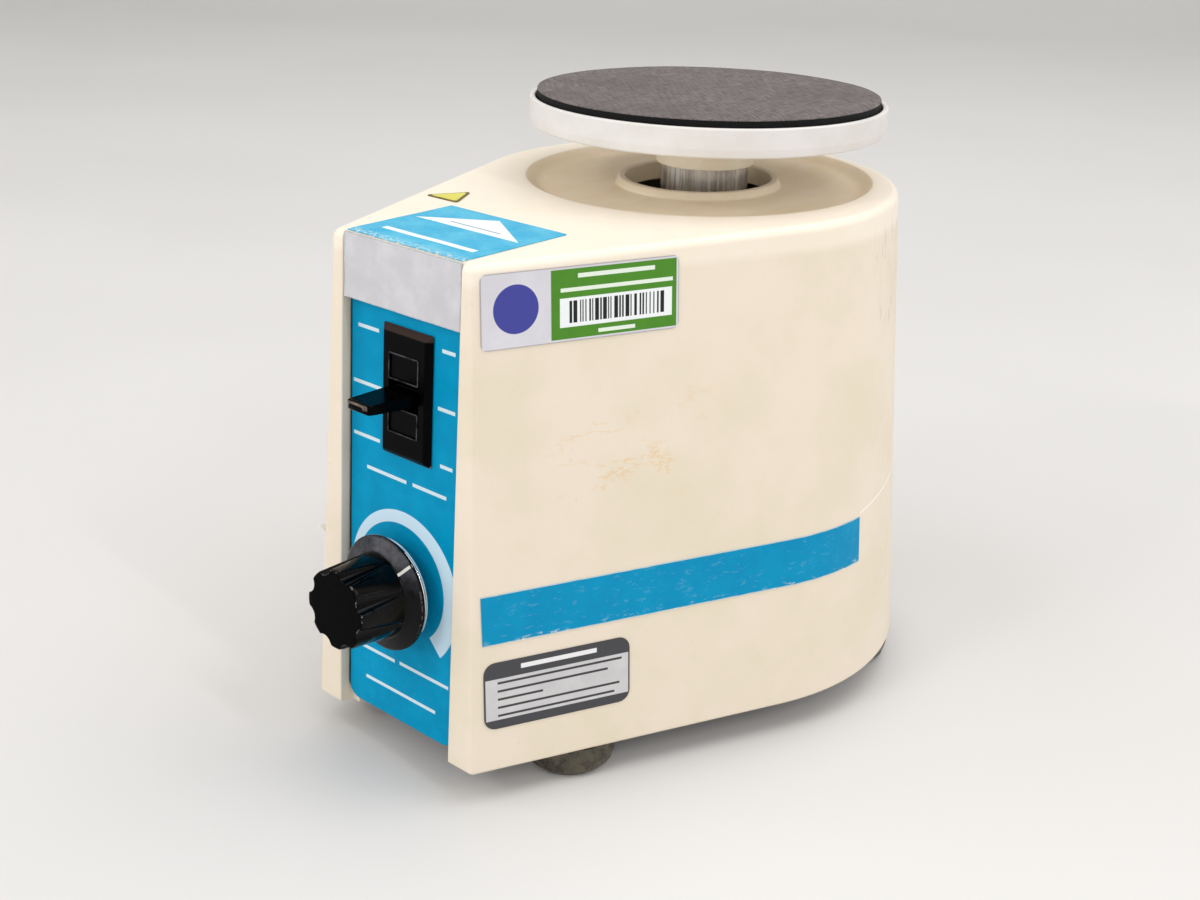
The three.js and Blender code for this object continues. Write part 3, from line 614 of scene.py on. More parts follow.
def casing_paint():
    """Satin cream paint with fine orange peel, grime in the dish, faint rubs, yellowed scratches, and paler
    paint as painted light where the platform shades the dish, the top round it and the hole.
    """
    look = Look("casing_paint", roughness=0.42, specular=0.4)
    cloud = look.noise(0.035, 4, 0.6)
    look.base(look.spread(cloud, 0.35, 0.75), CREAM, rgb(226, 214, 190))
    up_share = look.spread(look.z, 20, 118)
    look.paint(look.inverse(up_share), CREAM_DARK, 0.08)

    away = look.away(look.x, look.minus(look.y, AXIS_Y))
    over_top = look.spread(look.z, CASE_HEIGHT - 8, CASE_HEIGHT - 5)
    dish = look.times(look.inside(away, LIP_RADIUS, DISH_RADIUS - 0.2, 0.7), over_top)
    # Paler paint in the inner dish, where the platform shades it: painted light.
    painted_light_dish = look.times(dish, look.spread(away, DISH_RADIUS - 1, LIP_RADIUS + 6))
    look.paint(painted_light_dish, rgb(255, 247, 230), 0.9)
    # Paler paint on the top outside the dish, where the platform shades it: painted light.
    painted_light_round_dish = look.times(look.spread(away, DISH_RADIUS - 0.4, DISH_RADIUS + 0.4), over_top)
    look.paint(painted_light_round_dish, rgb(250, 240, 224), 0.5)
    # Paler paint on the hole's wall and lip edge, in the platform's deep shade: painted light.
    mouth = look.times(look.spread(away, HOLE_RADIUS + 0.5, HOLE_RADIUS - 0.1), over_top)
    look.paint(mouth, rgb(255, 244, 214))
    streaks = look.noise(0.11, 5, 0.65, (1, 0.35, 1), distortion=1.2)
    soil = look.times(dish, look.spread(streaks, 0.3, 0.72, 0.5, 1))
    look.paint(soil, rgb(226, 190, 122), 0.34)
    rim = look.times(look.inside(away, DISH_RADIUS - 2.2, DISH_RADIUS + 0.6, 0.8), over_top)
    look.paint(rim, rgb(180, 160, 124), 0.06)
    near_hole = look.times(look.inside(away, HOLE_RADIUS - 0.3, LIP_RADIUS + 1.2, 0.5), over_top)
    look.paint(look.times(near_hole, look.noise(0.4)), rgb(190, 170, 134), 0.2)

    # Yellowed rubs on the right side
    rub = look.apart(look.noise(0.1, 5, 0.7, (1, 0.35, 1.4)), 0.5)
    rub = look.times(look.spread(rub, 0.026, 0.006), look.spread(look.noise(0.13, 3), 0.46, 0.6))
    patch = look.times(
        look.inside(look.z, 66, 90, 6),
        look.inside(look.y, -82, -45, 9),
        look.spread(look.x, 10, 20),
    )
    look.paint(look.times(patch, rub), rgb(226, 184, 116), 0.42)
    on_right = look.spread(look.x, 20, 30)
    seam = look.add(look.z, look.times(look.y, -0.16))
    seam = look.times(look.inside(seam, 46.4, 46.75, 0.08), look.inside(look.y, 2.6, 40, 0.3), on_right)
    look.paint(seam, rgb(252, 250, 244), 0.9)
    lines = look.apart(look.noise(0.5, 2, 0.4, (1, 1, 0.05)), 0.5)
    upright = look.times(look.inside(look.z, 92, 121, 3), look.inside(look.y, 8, 34, 3), on_right)
    look.paint(look.times(upright, look.spread(lines, 0.02, 0.004)), rgb(196, 180, 150), 0.6)
    specks = look.noise(0.9, 2, 0.4)
    look.paint(look.spread(specks, 0.76, 0.8, 0, 0.35), rgb(190, 176, 146))

    look.roughness(look.add(look.spread(look.noise(0.3, 4), 0.3, 0.7, 0.36, 0.5), look.times(soil, 0.2)))
    peel = look.noise(1.3, 3, 0.5)
    scratches = look.noise(0.9, 2, 0.5, (6, 6, 0.12))
    look.bump((peel, 0.012), (look.spread(scratches, 0.68, 0.74), -0.01), (look.noise(0.05), 0.1))
    return look.done()


def hub_painted_light():
    """The casing's cream on the hub under the platform, painted paler than the casing as painted light
    where the platform shades it.
    """
    look = Look("hub_painted_light", roughness=0.42, specular=0.4)
    cloud = look.noise(0.12, 4, 0.6)
    look.base(look.spread(cloud, 0.35, 0.75), rgb(255, 248, 230), rgb(250, 238, 214))
    look.gloss(look.noise(0.4, 3), 0.36, 0.5)
    look.bump((look.noise(1.3, 3), 0.012), (look.noise(0.3, 2, stretch=(1, 1, 4)), 0.01))
    return look.done()


def film_look(name, base, pale, roughness=0.42, specular=0.3):
    """A printed satin film with faint blotches; its print is added by the caller."""
    look = Look(name, roughness=roughness, specular=specular)
    look.use_print()
    blotch = look.noise(0.12, 4, 0.6)
    look.base(look.spread(blotch, 0.35, 0.75), base, pale)
    fine = look.noise(1.8, 3, 0.6)
    look.paint(look.spread(fine, 0.55, 0.8, 0, 0.2), pale)
    look.gloss(look.noise(0.5, 4), roughness - 0.06, roughness + 0.08)
    look.bump((look.noise(0.2, 3), 0.03), (fine, 0.004))
    return look


def stripe_front():
    return STRIPE["front"] - plan(STRIPE["bottom"])[1]


def stripe_film():
    """The stripes' film, worn along its lower edge; the left one's upper front corner has come off."""
    look = film_look("stripe_film", BLUE, rgb(0, 146, 190), specular=0.12)
    worn = look.noise(0.5, 6, 0.75, (0.6, 0.6, 1.6))
    low_edge = look.spread(look.v, STRIPE["bottom"] + 1.6, STRIPE["bottom"])
    edges = look.inverse(look.inside(look.v, STRIPE["bottom"] + 0.25, STRIPE["top"] - 0.2, 0.12))
    scuff = look.times(look.add(low_edge, 0.08), look.spread(worn, 0.56, 0.66))
    look.paint(look.add(look.times(edges, 0.7), scuff), rgb(226, 226, 214))
    front = stripe_front()
    peeled = look.times(
        look.spread(look.u, front + 2.6, front + 2.2),
        look.spread(look.v, STRIPE["top"] - 2.8, STRIPE["top"] - 2.4),
        look.spread(look.x, 0, -5),
    )
    look.paint(peeled, rgb(232, 232, 226))
    return look.done()


def top_film():
    """The blue label on the top, with a plain white triangle and a thin rule."""
    look = film_look("top_film", rgb(40, 168, 208), rgb(84, 188, 218), 0.36, 0.3)
    apex, base, half = -68.9, -80, 17.5
    slope = half / (apex - base)
    limit = look.times(look.minus(apex, look.v), slope)
    inner = look.spread(look.minus(limit, look.math("ABSOLUTE", look.u)), -0.1, 0.1)
    triangle = look.times(inner, look.spread(look.v, base - 0.1, base + 0.1))
    look.paint(triangle, rgb(240, 242, 240))
    rule = look.bar((-8, 9), (-77.6, -77))
    look.paint(rule, rgb(40, 120, 160), 0.8)
    lines = look.bar((-15, 16), (-92.9, -91))
    look.paint(lines, rgb(235, 240, 240))
    flecks = look.noise(0.9, 6, 0.8)
    near_edge = look.spread(look.v, -95.5, -99)
    worn = look.times(near_edge, look.spread(flecks, 0.5, 0.58))
    look.paint(worn, rgb(228, 230, 224))
    return look.done()


def panel_film():
    """The control panel's film: plain bars where words would be, and a widening band round the knob."""
    look = film_look("panel_film", rgb(0, 139, 182), rgb(0, 150, 194), specular=0.04)
    white = rgb(214, 230, 234)
    words = [  # two u and the middle v of each bar
        ((-17, -9.5), 101.9), ((12.4, 16.8), 102.2),
        ((-18.6, -8.4), 87.9), ((11.4, 17.2), 88.3),
        ((-18.4, -8.8), 74.6), ((12.6, 16.8), 74.5),
        ((-13.4, 1), 66.9), ((3.2, 15), 67),
        ((-15.6, -2.2), 18.2), ((-0.4, 17.4), 18.4),
        ((-13, 13), 10),
    ]
    bars = [look.bar(u, (v - 0.45, v + 0.45)) for u, v in words]
    look.paint(look.any_of(bars), white, 0.92)

    # The band widens clockwise from lower left to lower right.
    up = look.minus(look.v, KNOB_UP + 0.2)
    away = look.away(look.u, up)
    clockwise = look.math("ARCTAN2", look.u, up)
    end = math.radians(135)
    share = look.math("DIVIDE", look.add(clockwise, end), 2 * end)
    outer = look.minus(look.add(18.5, look.times(share, 1.7)), away)
    inner = look.minus(away, look.minus(17.3, look.times(share, 2.7)))
    swept = look.inside(clockwise, -end, end, 0.004)
    band = look.times(look.spread(outer, -0.07, 0.07), look.spread(inner, -0.07, 0.07), swept)
    look.paint(band, rgb(204, 228, 242), 0.94)

    # Painted shade: near-black along the panel's left and right edges, for the shaded slit beside the
    # channel walls.
    gap = look.math("ABSOLUTE", look.u)
    look.paint(look.spread(gap, PANEL["half"] - 0.62, PANEL["half"] - 0.42), rgb(1, 22, 32))
    shaded = look.times(look.spread(look.u, -12, -19.5), look.spread(look.v, 40, 100))
    look.paint(shaded, rgb(0, 84, 112), 0.3)
    dust = look.noise(0.7, 6, 0.75)
    low = look.spread(look.v, 60, 4, 0.1, 1)
    look.paint(look.times(look.spread(dust, 0.6, 0.72), low), rgb(150, 196, 210), 0.2)
    return look.done()


def nameplate_film():
    look = film_look("nameplate_film", rgb(192, 191, 195), rgb(206, 205, 208), 0.42)
    edge = look.inverse(look.bar((-19.6, 19.6), (NAMEPLATE["bottom"] + 0.3, NAMEPLATE["top"] - 0.25), 0.15))
    grime = look.noise(0.6, 5, 0.7)
    look.paint(look.times(edge, look.spread(grime, 0.3, 0.7)), rgb(168, 178, 184))
    look.bump((look.noise(0.07, 2), 0.5), (look.noise(0.4, 3), 0.03))
    return look.done()


def asset_film():
    """A white and green label with a plain disc, plain bars and a field of uneven bars."""
    look = film_look("asset_film", rgb(208, 206, 212), rgb(216, 214, 220), 0.34)
    green = look.mix(look.noise(0.3), rgb(66, 128, 28), rgb(78, 140, 36))
    look.paint(look.bar((22, 54.6), (105.6, 121.6)), green)
    look.paint(look.disc((13.3, 113.8), 5.6), rgb(62, 66, 150))
    field = look.bar((24.2, 53.4), (108.3, 115))
    look.paint(field, rgb(236, 240, 240))
    bars = []
    at = 26.6
    while at < 51:
        width = random.choice((0.3, 0.45, 0.7, 1))
        bars.append(look.inside(look.u, at, at + width, 0.04))
        at += width + random.choice((0.3, 0.45, 0.7))
    black = look.times(look.any_of(bars), look.inside(look.v, 109.2, 114.3, 0.05))
    look.paint(black, rgb(22, 24, 26))
    lines = [
        look.bar((28.8, 48.8), (119.4, 120.4)),
        look.bar((24.4, 53.6), (116.4, 117.3)),
        look.bar((34, 43.6), (106.3, 107.2)),
    ]
    look.paint(look.any_of(lines), rgb(226, 236, 222))
    (start, end), (low, high) = ASSET["along"], ASSET["up"]
    # Painted shadow: a grey line round the label's edge.
    edge = look.inverse(look.bar((start + 0.2, end - 0.2), (low + 0.2, high - 0.2), 0.1))
    look.paint(edge, rgb(150, 146, 146), 0.7)
    return look.done()


def notice_film():
    """A white label with a dark band above and below and plain lines."""
    look = film_look("notice_film", rgb(196, 195, 196), rgb(208, 207, 207), 0.36)
    low, high = NOTICE["up"]
    bands = [look.spread(look.v, high - 4.3, high - 4.2), look.spread(look.v, low + 2.4, low + 2.3)]
    start, end = NOTICE["along"]
    rim = look.inverse(look.bar((start + 0.4, end - 0.4), (low + 0.4, high - 0.4)))
    look.paint(look.any_of([*bands, rim]), rgb(66, 66, 70))
    heading = look.bar((13.3, 33.4), (26.3, 27.5))
    look.paint(heading, rgb(232, 232, 232))
    ends = (40.2, 36.4, 19, 39.6, 38.2)
    lines = [look.bar((7.2, end), (23.2 - 2.15 * row, 23.8 - 2.15 * row)) for row, end in enumerate(ends)]
    look.paint(look.any_of(lines), rgb(60, 60, 64))
    return look.done()


def triangle_film():
    look = film_look("triangle_film", rgb(212, 204, 84), rgb(222, 214, 104), 0.4)
    return look.done()


def above_panel(look):
    """How far a point stands in front of the panel's face."""
    forward = look.times(look.add(look.y, BOTTOM["front"]), -math.cos(RAKE))
    return look.add(forward, look.times(look.z, math.sin(RAKE)), PANEL_DEPTH)


def black_plastic(name="black_plastic", scratch=0.5, roughness=0.16, framed=False, tipped=False):
    """Glossy black moulding with fine marks; uneven grey on the bezel's frames (part wear, part painted
    highlight), and painted highlights on its top chamfer, its bottom edge and the lever's tip.
    """
    look = Look(name, roughness=roughness, specular=0.035)
    haze = look.noise(0.35, 5, 0.65)
    look.base(look.spread(haze, 0.4, 0.8, 0, 0.5), rgb(1, 1, 2), rgb(8, 8, 9))
    if framed:
        out = above_panel(look)
        # Grey on the frames' ridges, uneven with noise: part wear, part painted highlight on edges that
        # would catch light.
        on_frames = look.inside(out, BEZEL["proud"] + 0.1, BEZEL["proud"] + 0.4, 0.04)
        rubbed_glint = look.times(on_frames, look.spread(look.noise(0.5, 4, 0.6), 0.35, 0.62, 0.12, 0.8))
        look.paint(rubbed_glint, rgb(84, 84, 88))
        # Painted highlight on the top chamfer, which faces the light.
        up_chamfer = look.times(
            look.spread(look.z, SWITCH_UP + 14.2, SWITCH_UP + 14.7),
            look.inside(out, 0.3, BEZEL["proud"] - 0.02, 0.06),
        )
        look.paint(up_chamfer, rgb(66, 52, 48), 0.8)
        # Painted highlight: a thin bright line along the bezel's bottom edge.
        low_edge = look.times(
            look.spread(look.z, SWITCH_UP - 15.3, SWITCH_UP - 15.6),
            look.inside(out, 0.22, 0.5, 0.08),
        )
        look.paint(low_edge, rgb(120, 130, 136), 0.8)
    if tipped:
        # Painted highlight along the upper edge of the lever's tip, broken up by noise.
        tip = LEVER_LENGTH - LEVER_DEPTH + PANEL_DEPTH
        at_tip = look.inside(above_panel(look), tip - 0.62, tip - 0.08, 0.08)
        upper = look.spread(look.z, SWITCH_UP + 0.2, SWITCH_UP + 0.7)
        rubbed_glint = look.times(at_tip, upper, look.spread(look.noise(0.4, 3), 0.3, 0.6, 0.3, 0.9))
        look.paint(rubbed_glint, rgb(124, 110, 100))
    marks = look.noise(1.6, 4, 0.6, (0.25, 1, 1), distortion=0.6)
    worn = look.spread(marks, 0.56, 0.72, 0, scratch)
    look.roughness(look.add(roughness, look.times(worn, 0.3), look.spread(haze, 0.4, 0.7, 0, 0.1)))
    look.bump((marks, 0.008), (look.noise(0.25, 2), 0.03))
    return look.done()


def knob_plastic():
    """Glossy black with the pointer line on the skirt, painted glints along the tip's edge and the skirt's
    rim, and a painted sheen on the upper skirt.
    """
    look = Look("knob_plastic", roughness=0.12, specular=0.04)
    look.use_print()
    haze = look.noise(0.4, 5, 0.7)
    look.base(look.spread(haze, 0.4, 0.8, 0, 0.5), rgb(1, 1, 2), rgb(9, 9, 11))
    out = above_panel(look)
    # Painted glints along the tip's edge and, faintly, on the skirt's rim, broken up by noise like wear.
    rubbed_glint = look.spread(look.noise(0.32, 4, 0.75), 0.53, 0.6)
    tip_edge = look.inside(out, KNOB_TIP - 0.36, KNOB_TIP - 0.06, 0.06)
    rims = look.any_of([tip_edge, look.times(look.inside(out, 5.95, 6.2, 0.06), 0.3)])
    look.paint(look.times(rims, rubbed_glint), rgb(150, 150, 156), 0.75)
    # Painted sheen of a reflection on the upper part of the skirt, uneven with the haze.
    skirt = look.times(look.inside(out, 6, 7.5, 0.1), look.spread(look.z, KNOB_UP + 3, KNOB_UP + 10))
    look.paint(look.times(skirt, look.spread(haze, 0.3, 0.7, 0.3, 0.9)), rgb(70, 71, 79))
    at_tip = look.spread(out, KNOB_TIP - 0.12, KNOB_TIP - 0.02, 0.13, 0.02)
    look.put(look.shader.inputs["Specular IOR Level"], at_tip)
    pointer = look.times(look.inside(look.u, -0.38, 0.38, 0.06), look.inside(look.v, 10.5, 14.2, 0.1))
    look.paint(pointer, rgb(214, 214, 206))
    marks = look.noise(1.2, 5, 0.7, (1, 1, 0.4), distortion=0.8)
    look.roughness(look.add(0.11, look.spread(marks, 0.55, 0.75, 0, 0.22)))
    look.bump((marks, 0.01), (look.noise(0.3, 2), 0.03))
    return look.done()


def white_plastic():
    look = Look("tray_plastic", roughness=0.38, specular=0.45)
    cloud = look.noise(0.06, 4, 0.6)
    look.base(look.spread(cloud, 0.35, 0.7), rgb(226, 222, 219), rgb(218, 213, 208))
    specks = look.noise(1.1, 2, 0.4)
    look.paint(look.spread(specks, 0.76, 0.8, 0, 0.3), rgb(170, 160, 140))
    look.gloss(look.noise(0.5), 0.32, 0.46)
    look.bump((look.noise(1, 3), 0.01), (look.noise(0.08), 0.08))
    return look.done()


def mat_rubber():
    """A woven pad's dark grey top with fine diagonal streaks and pale flecks; its edge is black."""
    look = Look("mat_rubber", roughness=0.75, specular=0.25)
    rotated = look.node("ShaderNodeVectorRotate", look.place, Angle=math.radians(38))
    rotated.rotation_type = "Z_AXIS"
    place = rotated.outputs[0]
    warp = look.noise(1, 3, 0.7, (0.12, 2.6, 1), place=place)
    weft = look.noise(1, 3, 0.7, (2.2, 0.12, 1), place=look.place)
    weave = look.add(look.spread(warp, 0.35, 0.65, 0, 0.5), look.spread(weft, 0.35, 0.65, 0, 0.5))
    look.base(look.spread(weave, 0.1, 0.9), rgb(88, 81, 80), rgb(130, 122, 120))
    flecks = look.noise(1.7, 4, 0.8, (0.4, 1.6, 1), place=place)
    look.paint(look.spread(flecks, 0.64, 0.74, 0, 0.6), rgb(178, 172, 170))
    cloud = look.noise(0.05, 3)
    look.paint(look.spread(cloud, 0.4, 0.7, 0, 0.35), rgb(84, 78, 78))
    up_face = look.spread(look.z, MAT["top"] - 0.42, MAT["top"] - 0.3)
    look.base(up_face, rgb(6, 6, 7), look.tone)
    look.bump((weave, 0.16), (flecks, 0.05))
    return look.done()


def foot_rubber():
    look = Look("foot_rubber", roughness=0.32, specular=0.5)
    cloud = look.noise(0.35, 5, 0.7, distortion=0.8)
    look.base(look.spread(cloud, 0.35, 0.7), rgb(84, 78, 60), rgb(34, 31, 23))
    dust = look.noise(1.2, 4, 0.7)
    look.paint(look.spread(dust, 0.6, 0.75, 0, 0.5), rgb(112, 108, 94))
    look.shader.inputs["Subsurface Weight"].default_value = 0.25
    look.shader.inputs["Subsurface Scale"].default_value = 0.004
    look.roughness(look.spread(dust, 0.4, 0.7, 0.25, 0.5))
    look.bump((cloud, 0.12), (dust, 0.03))
    return look.done()


def plain(name, first, second, roughness, depth=0.02):
    """A material with two tones, uneven gloss and a fine grain."""
    look = Look(name, roughness=roughness)
    tone = look.noise(0.6, 4, 0.6)
    look.base(look.spread(tone, 0.3, 0.7), first, second)
    look.gloss(look.noise(1.02, 3), roughness - 0.07, roughness + 0.1)
    look.bump((tone, depth))
    return look.done()


def brushed(name, first, second, roughness, depth, stretch):
    """Turned or drawn metal: fine lines round its axis."""
    look = Look(name, roughness=roughness, metallic=1)
    lines = look.noise(1, 4, 0.7, stretch)
    tarnish = look.noise(0.2, 4, 0.6)
    look.base(look.spread(lines, 0.3, 0.7), first, second)
    look.paint(look.spread(tarnish, 0.5, 0.8, 0, 0.25), rgb(150, 146, 138))
    look.gloss(lines, roughness - 0.08, roughness + 0.1)
    look.bump((lines, depth))
    return look.done()


def sleeve_metal():
    """Drawn tube: grey metal with streaks along its axis."""
    look = Look("sleeve_metal", roughness=0.3, metallic=0.82)
    streaks = look.noise(0.9, 4, 0.7, (1, 1, 0.03))
    look.base(look.spread(streaks, 0.3, 0.7), rgb(182, 181, 181), rgb(218, 218, 219))
    dull = look.noise(0.2, 3, 0.6, (1, 1, 0.2))
    look.paint(look.spread(dull, 0.4, 0.65, 0, 0.5), rgb(128, 125, 122))
    look.gloss(streaks, 0.2, 0.34)
    look.bump((streaks, 0.004))
    return look.done()


LOOKS = {
    "casing": casing_paint(),
    "hub": hub_painted_light(),
    "stripe": stripe_film(),
    "top_label": top_film(),
    "panel": panel_film(),
    "nameplate": nameplate_film(),
    "asset": asset_film(),
    "notice": notice_film(),
    "triangle": triangle_film(),
    "lever": black_plastic("lever_plastic", tipped=True),
    "bezel": black_plastic("bezel_plastic", 0.3, 0.3, framed=True),
    "dark": black_plastic("dark_plastic", 0.3, 0.3),
    "knob": knob_plastic(),
    "tray": white_plastic(),
    "mat": mat_rubber(),
    "foot": foot_rubber(),
    "boot": plain("boot_rubber", rgb(206, 112, 50), rgb(168, 88, 40), 0.6, depth=0.08),
    "bush": plain("bush_rubber", rgb(30, 30, 30), rgb(44, 43, 42), 0.7, depth=0.05),
    "steel": brushed("plated_steel", rgb(150, 150, 152), rgb(184, 184, 186), 0.32, 0.01, (1, 1, 0.3)),
    "aluminium": brushed("aluminium", rgb(206, 204, 202), rgb(232, 231, 230), 0.13, 0.001, (0.1, 0.1, 3)),
    "sleeve": sleeve_metal(),
    "copper": brushed("copper_wire", rgb(176, 96, 44), rgb(206, 124, 62), 0.3, 0.15, (0.3, 0.3, 3)),
    "board": plain("circuit_board", rgb(18, 70, 36), rgb(26, 92, 48), 0.4),
    "olive": plain("olive_print", rgb(84, 76, 20), rgb(102, 92, 30), 0.4),
}

# ---- Casing ---------------------------------------------------------------------------------------

SIDE_STEPS = 20
ARC_STEPS = 96
CHANNEL_EDGE = 0.4
BELOW_LEDGE = (12, 30, 48, 66, 84, 102)


def round_the_back(right, radius, tangent, height):
    """A level's points: its right half from the front, the round back, and the right half mirrored."""
    arc = [polar(radius, mix(tangent, math.pi - tangent, step / ARC_STEPS)) for step in range(1, ARC_STEPS)]
    left = [Vector((-point.x, point.y)) for point in reversed(right)]
    return [Vector((p.x, p.y, height + lift(p.y, height))) for p in right + arc + left]


def outline(height, inset, depth):
    """The casing's plan with its channel, as points that lie on the sloping level at this height."""
    radius, front, half, tangent = plan(height, inset)
    front_z = height + lift(-front, height)
    up = front_z / math.cos(RAKE)
    floor = FRONT @ Vector((0, up, -depth))
    right = [Vector((CHANNEL_HALF, floor.y))]
    for inset, drop in quarter(CHANNEL_EDGE, 3):
        right.append(Vector((CHANNEL_HALF + inset, drop - front)))
    meet = polar(radius, tangent)
    bend = rounded([(CHANNEL_HALF, -front, 0), (half, -front, CORNER), (*meet, 0)], 6, closed=False)
    right.extend(bend[1:-1])
    for step in range(1, SIDE_STEPS + 1):
        right.append(bend[-2].lerp(meet, step / SIDE_STEPS))
    points = round_the_back(right, radius, tangent, height)
    points[0].z = points[-1].z = floor.z
    return points


def height_of(up):
    """The level whose front edge lies this far up the raked face."""
    height = up
    for _ in range(4):
        height = up * math.cos(RAKE) / (1 - TOP_SLOPE * plan(height)[1] / CASE_HEIGHT)
    return height


def inner_outline(height):
    """The plan of the cavity."""
    radius, front, half, tangent = plan(height, WALL)
    meet = polar(radius, tangent)
    corner = Vector((half, -front))
    wall_y = -plan(height)[1] + FRONT_WALL
    start = corner.lerp(meet, (wall_y - corner.y) / (meet.y - corner.y))
    right = [start.lerp(meet, step / 8) for step in range(9)]
    return round_the_back(right, radius, tangent, height)


def casing():
    """The shell: lofts outside, inside and down the bowl, joined by filled rims, with three openings."""
    shape = Shape()
    ledge = height_of(NAMEPLATE["bottom"])
    levels = [(drop, inset, CHANNEL_DEPTH) for inset, drop in reversed(list(quarter(BOTTOM_EDGE, 4)))]
    levels += [(height, 0, CHANNEL_DEPTH) for height in (*BELOW_LEDGE, ledge - 0.2, ledge)]
    levels += [(ledge, 0, SEAT_DEPTH), (116, 0, SEAT_DEPTH)]
    levels += [(CASE_HEIGHT - drop, inset, SEAT_DEPTH) for inset, drop in quarter(EDGE, 6)]
    rings = shape.loft([outline(*level) for level in levels], capped=False)
    outer_bottom, outer_top = rings[0], rings[-1]

    inner = shape.loft([inner_outline(height) for height in (0, 60, CASE_HEIGHT - ROOF)], capped=False)
    profile = [
        (DISH_RADIUS + 1.8, 0, 0), (DISH_RADIUS, 0, 1), (DISH_RADIUS - 3.5, -DISH_DEPTH, 5),
        (LIP_RADIUS + 0.6, -DISH_DEPTH, 0.7), (LIP_RADIUS, 0, 0.6), (HOLE_RADIUS, 0, 0.5),
        (HOLE_RADIUS, -ROOF, 0),
    ]
    bowl = []
    for radius, z in rounded(profile, 5, closed=False):
        circle = (round_point(radius, 2 * math.pi * i / ARC_STEPS, z) for i in range(ARC_STEPS))
        bowl.append([TOP_FACE @ (Vector(point) + Vector((0, AXIS_Y, 0))) for point in circle])
    bowl = shape.loft(bowl, capped=False)

    mesh = bpy.data.meshes.new("casing_raw")
    mesh.from_pydata([ROW @ point for point in shape.points], [], shape.faces)
    made = bmesh.new()
    made.from_mesh(mesh)
    made.verts.ensure_lookup_table()
    for first, second in ((outer_bottom, inner[0]), (outer_top, bowl[0]), (inner[-1], bowl[-1])):
        edges = []
        for ring in (first, second):
            for i, j in zip(ring, ring[1:] + ring[:1]):
                ends = (made.verts[i], made.verts[j])
                edges.append(made.edges.get(ends) or made.edges.new(ends))
        bmesh.ops.triangle_fill(made, edges=edges, use_beauty=True)
    bmesh.ops.remove_doubles(made, verts=made.verts, dist=2e-6)
    bmesh.ops.recalc_face_normals(made, faces=made.faces)
    made.to_mesh(mesh)
    made.free()
    obj = bpy.data.objects.new("casing_shell", mesh)
    bpy.context.scene.collection.objects.link(obj)
    behind_panel = box_shape((-OPENING_HALF, OPENING_HALF), (-5, 116), (-12, -PANEL_DEPTH))
    recess = centred(*INLET_RECESS, (0, 18.5))
    opening = centred(*INLET_OPENING, (-11.5, 3.5))
    flat = ROW @ BACK_FLAT
    carve(obj, (behind_panel, ROW @ FRONT), (recess, flat), (opening, flat), angle=32)
    piece(obj, "casing", "casing", ["housing"])


casing()

# ---- Films on the casing --------------------------------------------------------------------------


def side_surface(along, up, out):
    """A point of the right side's label area, in that face's own millimetres."""
    place = SIDE @ Vector((along, up, 0))
    return side_point(place.y, place.z, out)


def stripes():
    """A stripe on each side; the left one's upper front corner stands off."""
    front = stripe_front()
    for name, side in (("right_stripe", 1), ("left_stripe", -1)):
        def surface(y, z, out, side=side):
            ragged = 0.1 * noise.noise(Vector((y * 0.4, z, 3 * side)))
            loose = 0
            if side < 0:
                loose = max(0, 1 - (y - front) / 2.4) * max(0, 1 - (STRIPE["top"] - z) / 2.4)
            return side_point(y, z + ragged, out + 2.8 * loose, side)
        up = (STRIPE["bottom"], STRIPE["top"])
        shape = film((front, STRIPE["back"]), up, (0.3, 0.3), 72, 12, surface)
        obj = mesh_of(name + "_film", shape, ROW)
        piece(obj, "stripe", "casing", [name])


def side_labels():
    for name, spec, look, slot in (
        ("asset_label", ASSET, "asset", "asset_vinyl"),
        ("notice_label", NOTICE, "notice", "notice_vinyl"),
    ):
        shape = film(spec["along"], spec["up"], (spec["corner"],) * 2, 24, 8, side_surface)
        obj = mesh_of(name + "_film", shape, ROW)
        piece(obj, look, "casing", [name])


def top_labels():
    def surface(x, y, out):
        ragged = 0.3 * abs(noise.noise(Vector((x * 0.7, 5, 0)))) if y < TOP_LABEL["front"] + 0.3 else 0
        wave = 0.04 * noise.noise(Vector((x * 0.12, y * 0.12, 1)))
        return TOP_FACE @ Vector((x, y + ragged, out + wave + 0.03))
    half = TOP_LABEL["half"]
    shape = film((-half, half), (TOP_LABEL["front"], TOP_LABEL["back"]), (0.1, 0.3), 60, 30, surface)
    obj = mesh_of("top_label_film", shape, ROW)
    piece(obj, "top_label", "casing", ["top_label"])


def triangle_label():
    """A plain yellow triangle with a dark border, as two thin layers."""
    middle = Vector(TRIANGLE["middle"])
    def corners(side, radius):
        reach = side / math.sqrt(3)
        angles = (math.pi / 2, math.pi * 7 / 6, math.pi * 11 / 6)
        points = (middle + polar(reach, angle) for angle in angles)
        return rounded([(*point, radius) for point in points], 5)
    for name, side, low, high, look in (
        ("triangle_label_border", TRIANGLE["side"], 0.03, 0.2, "olive"),
        ("triangle_label_film", TRIANGLE["inner_side"], 0.2, 0.28, "triangle"),
    ):
        shape = Shape()
        path = corners(side, side * 0.06)
        shape.loft([[(p.x, p.y, z) for p in path] for z in (low, high)])
        obj = mesh_of(name, shape, ROW @ TOP_FACE)
        replaced = ["triangle_label"] if look == "triangle" else []
        piece(obj, look, "casing", replaced)


stripes()
side_labels()
top_labels()
triangle_label()

# ---- Front panel, nameplate and switch ------------------------------------------------------------


def flat_surface(wave, scale):
    """A face that waves a little, in its own millimetres."""
    def surface(x, up, out):
        bend = wave * noise.noise(Vector((x * scale, up * scale, 0)))
        return Vector((x, up, out + bend))
    return surface


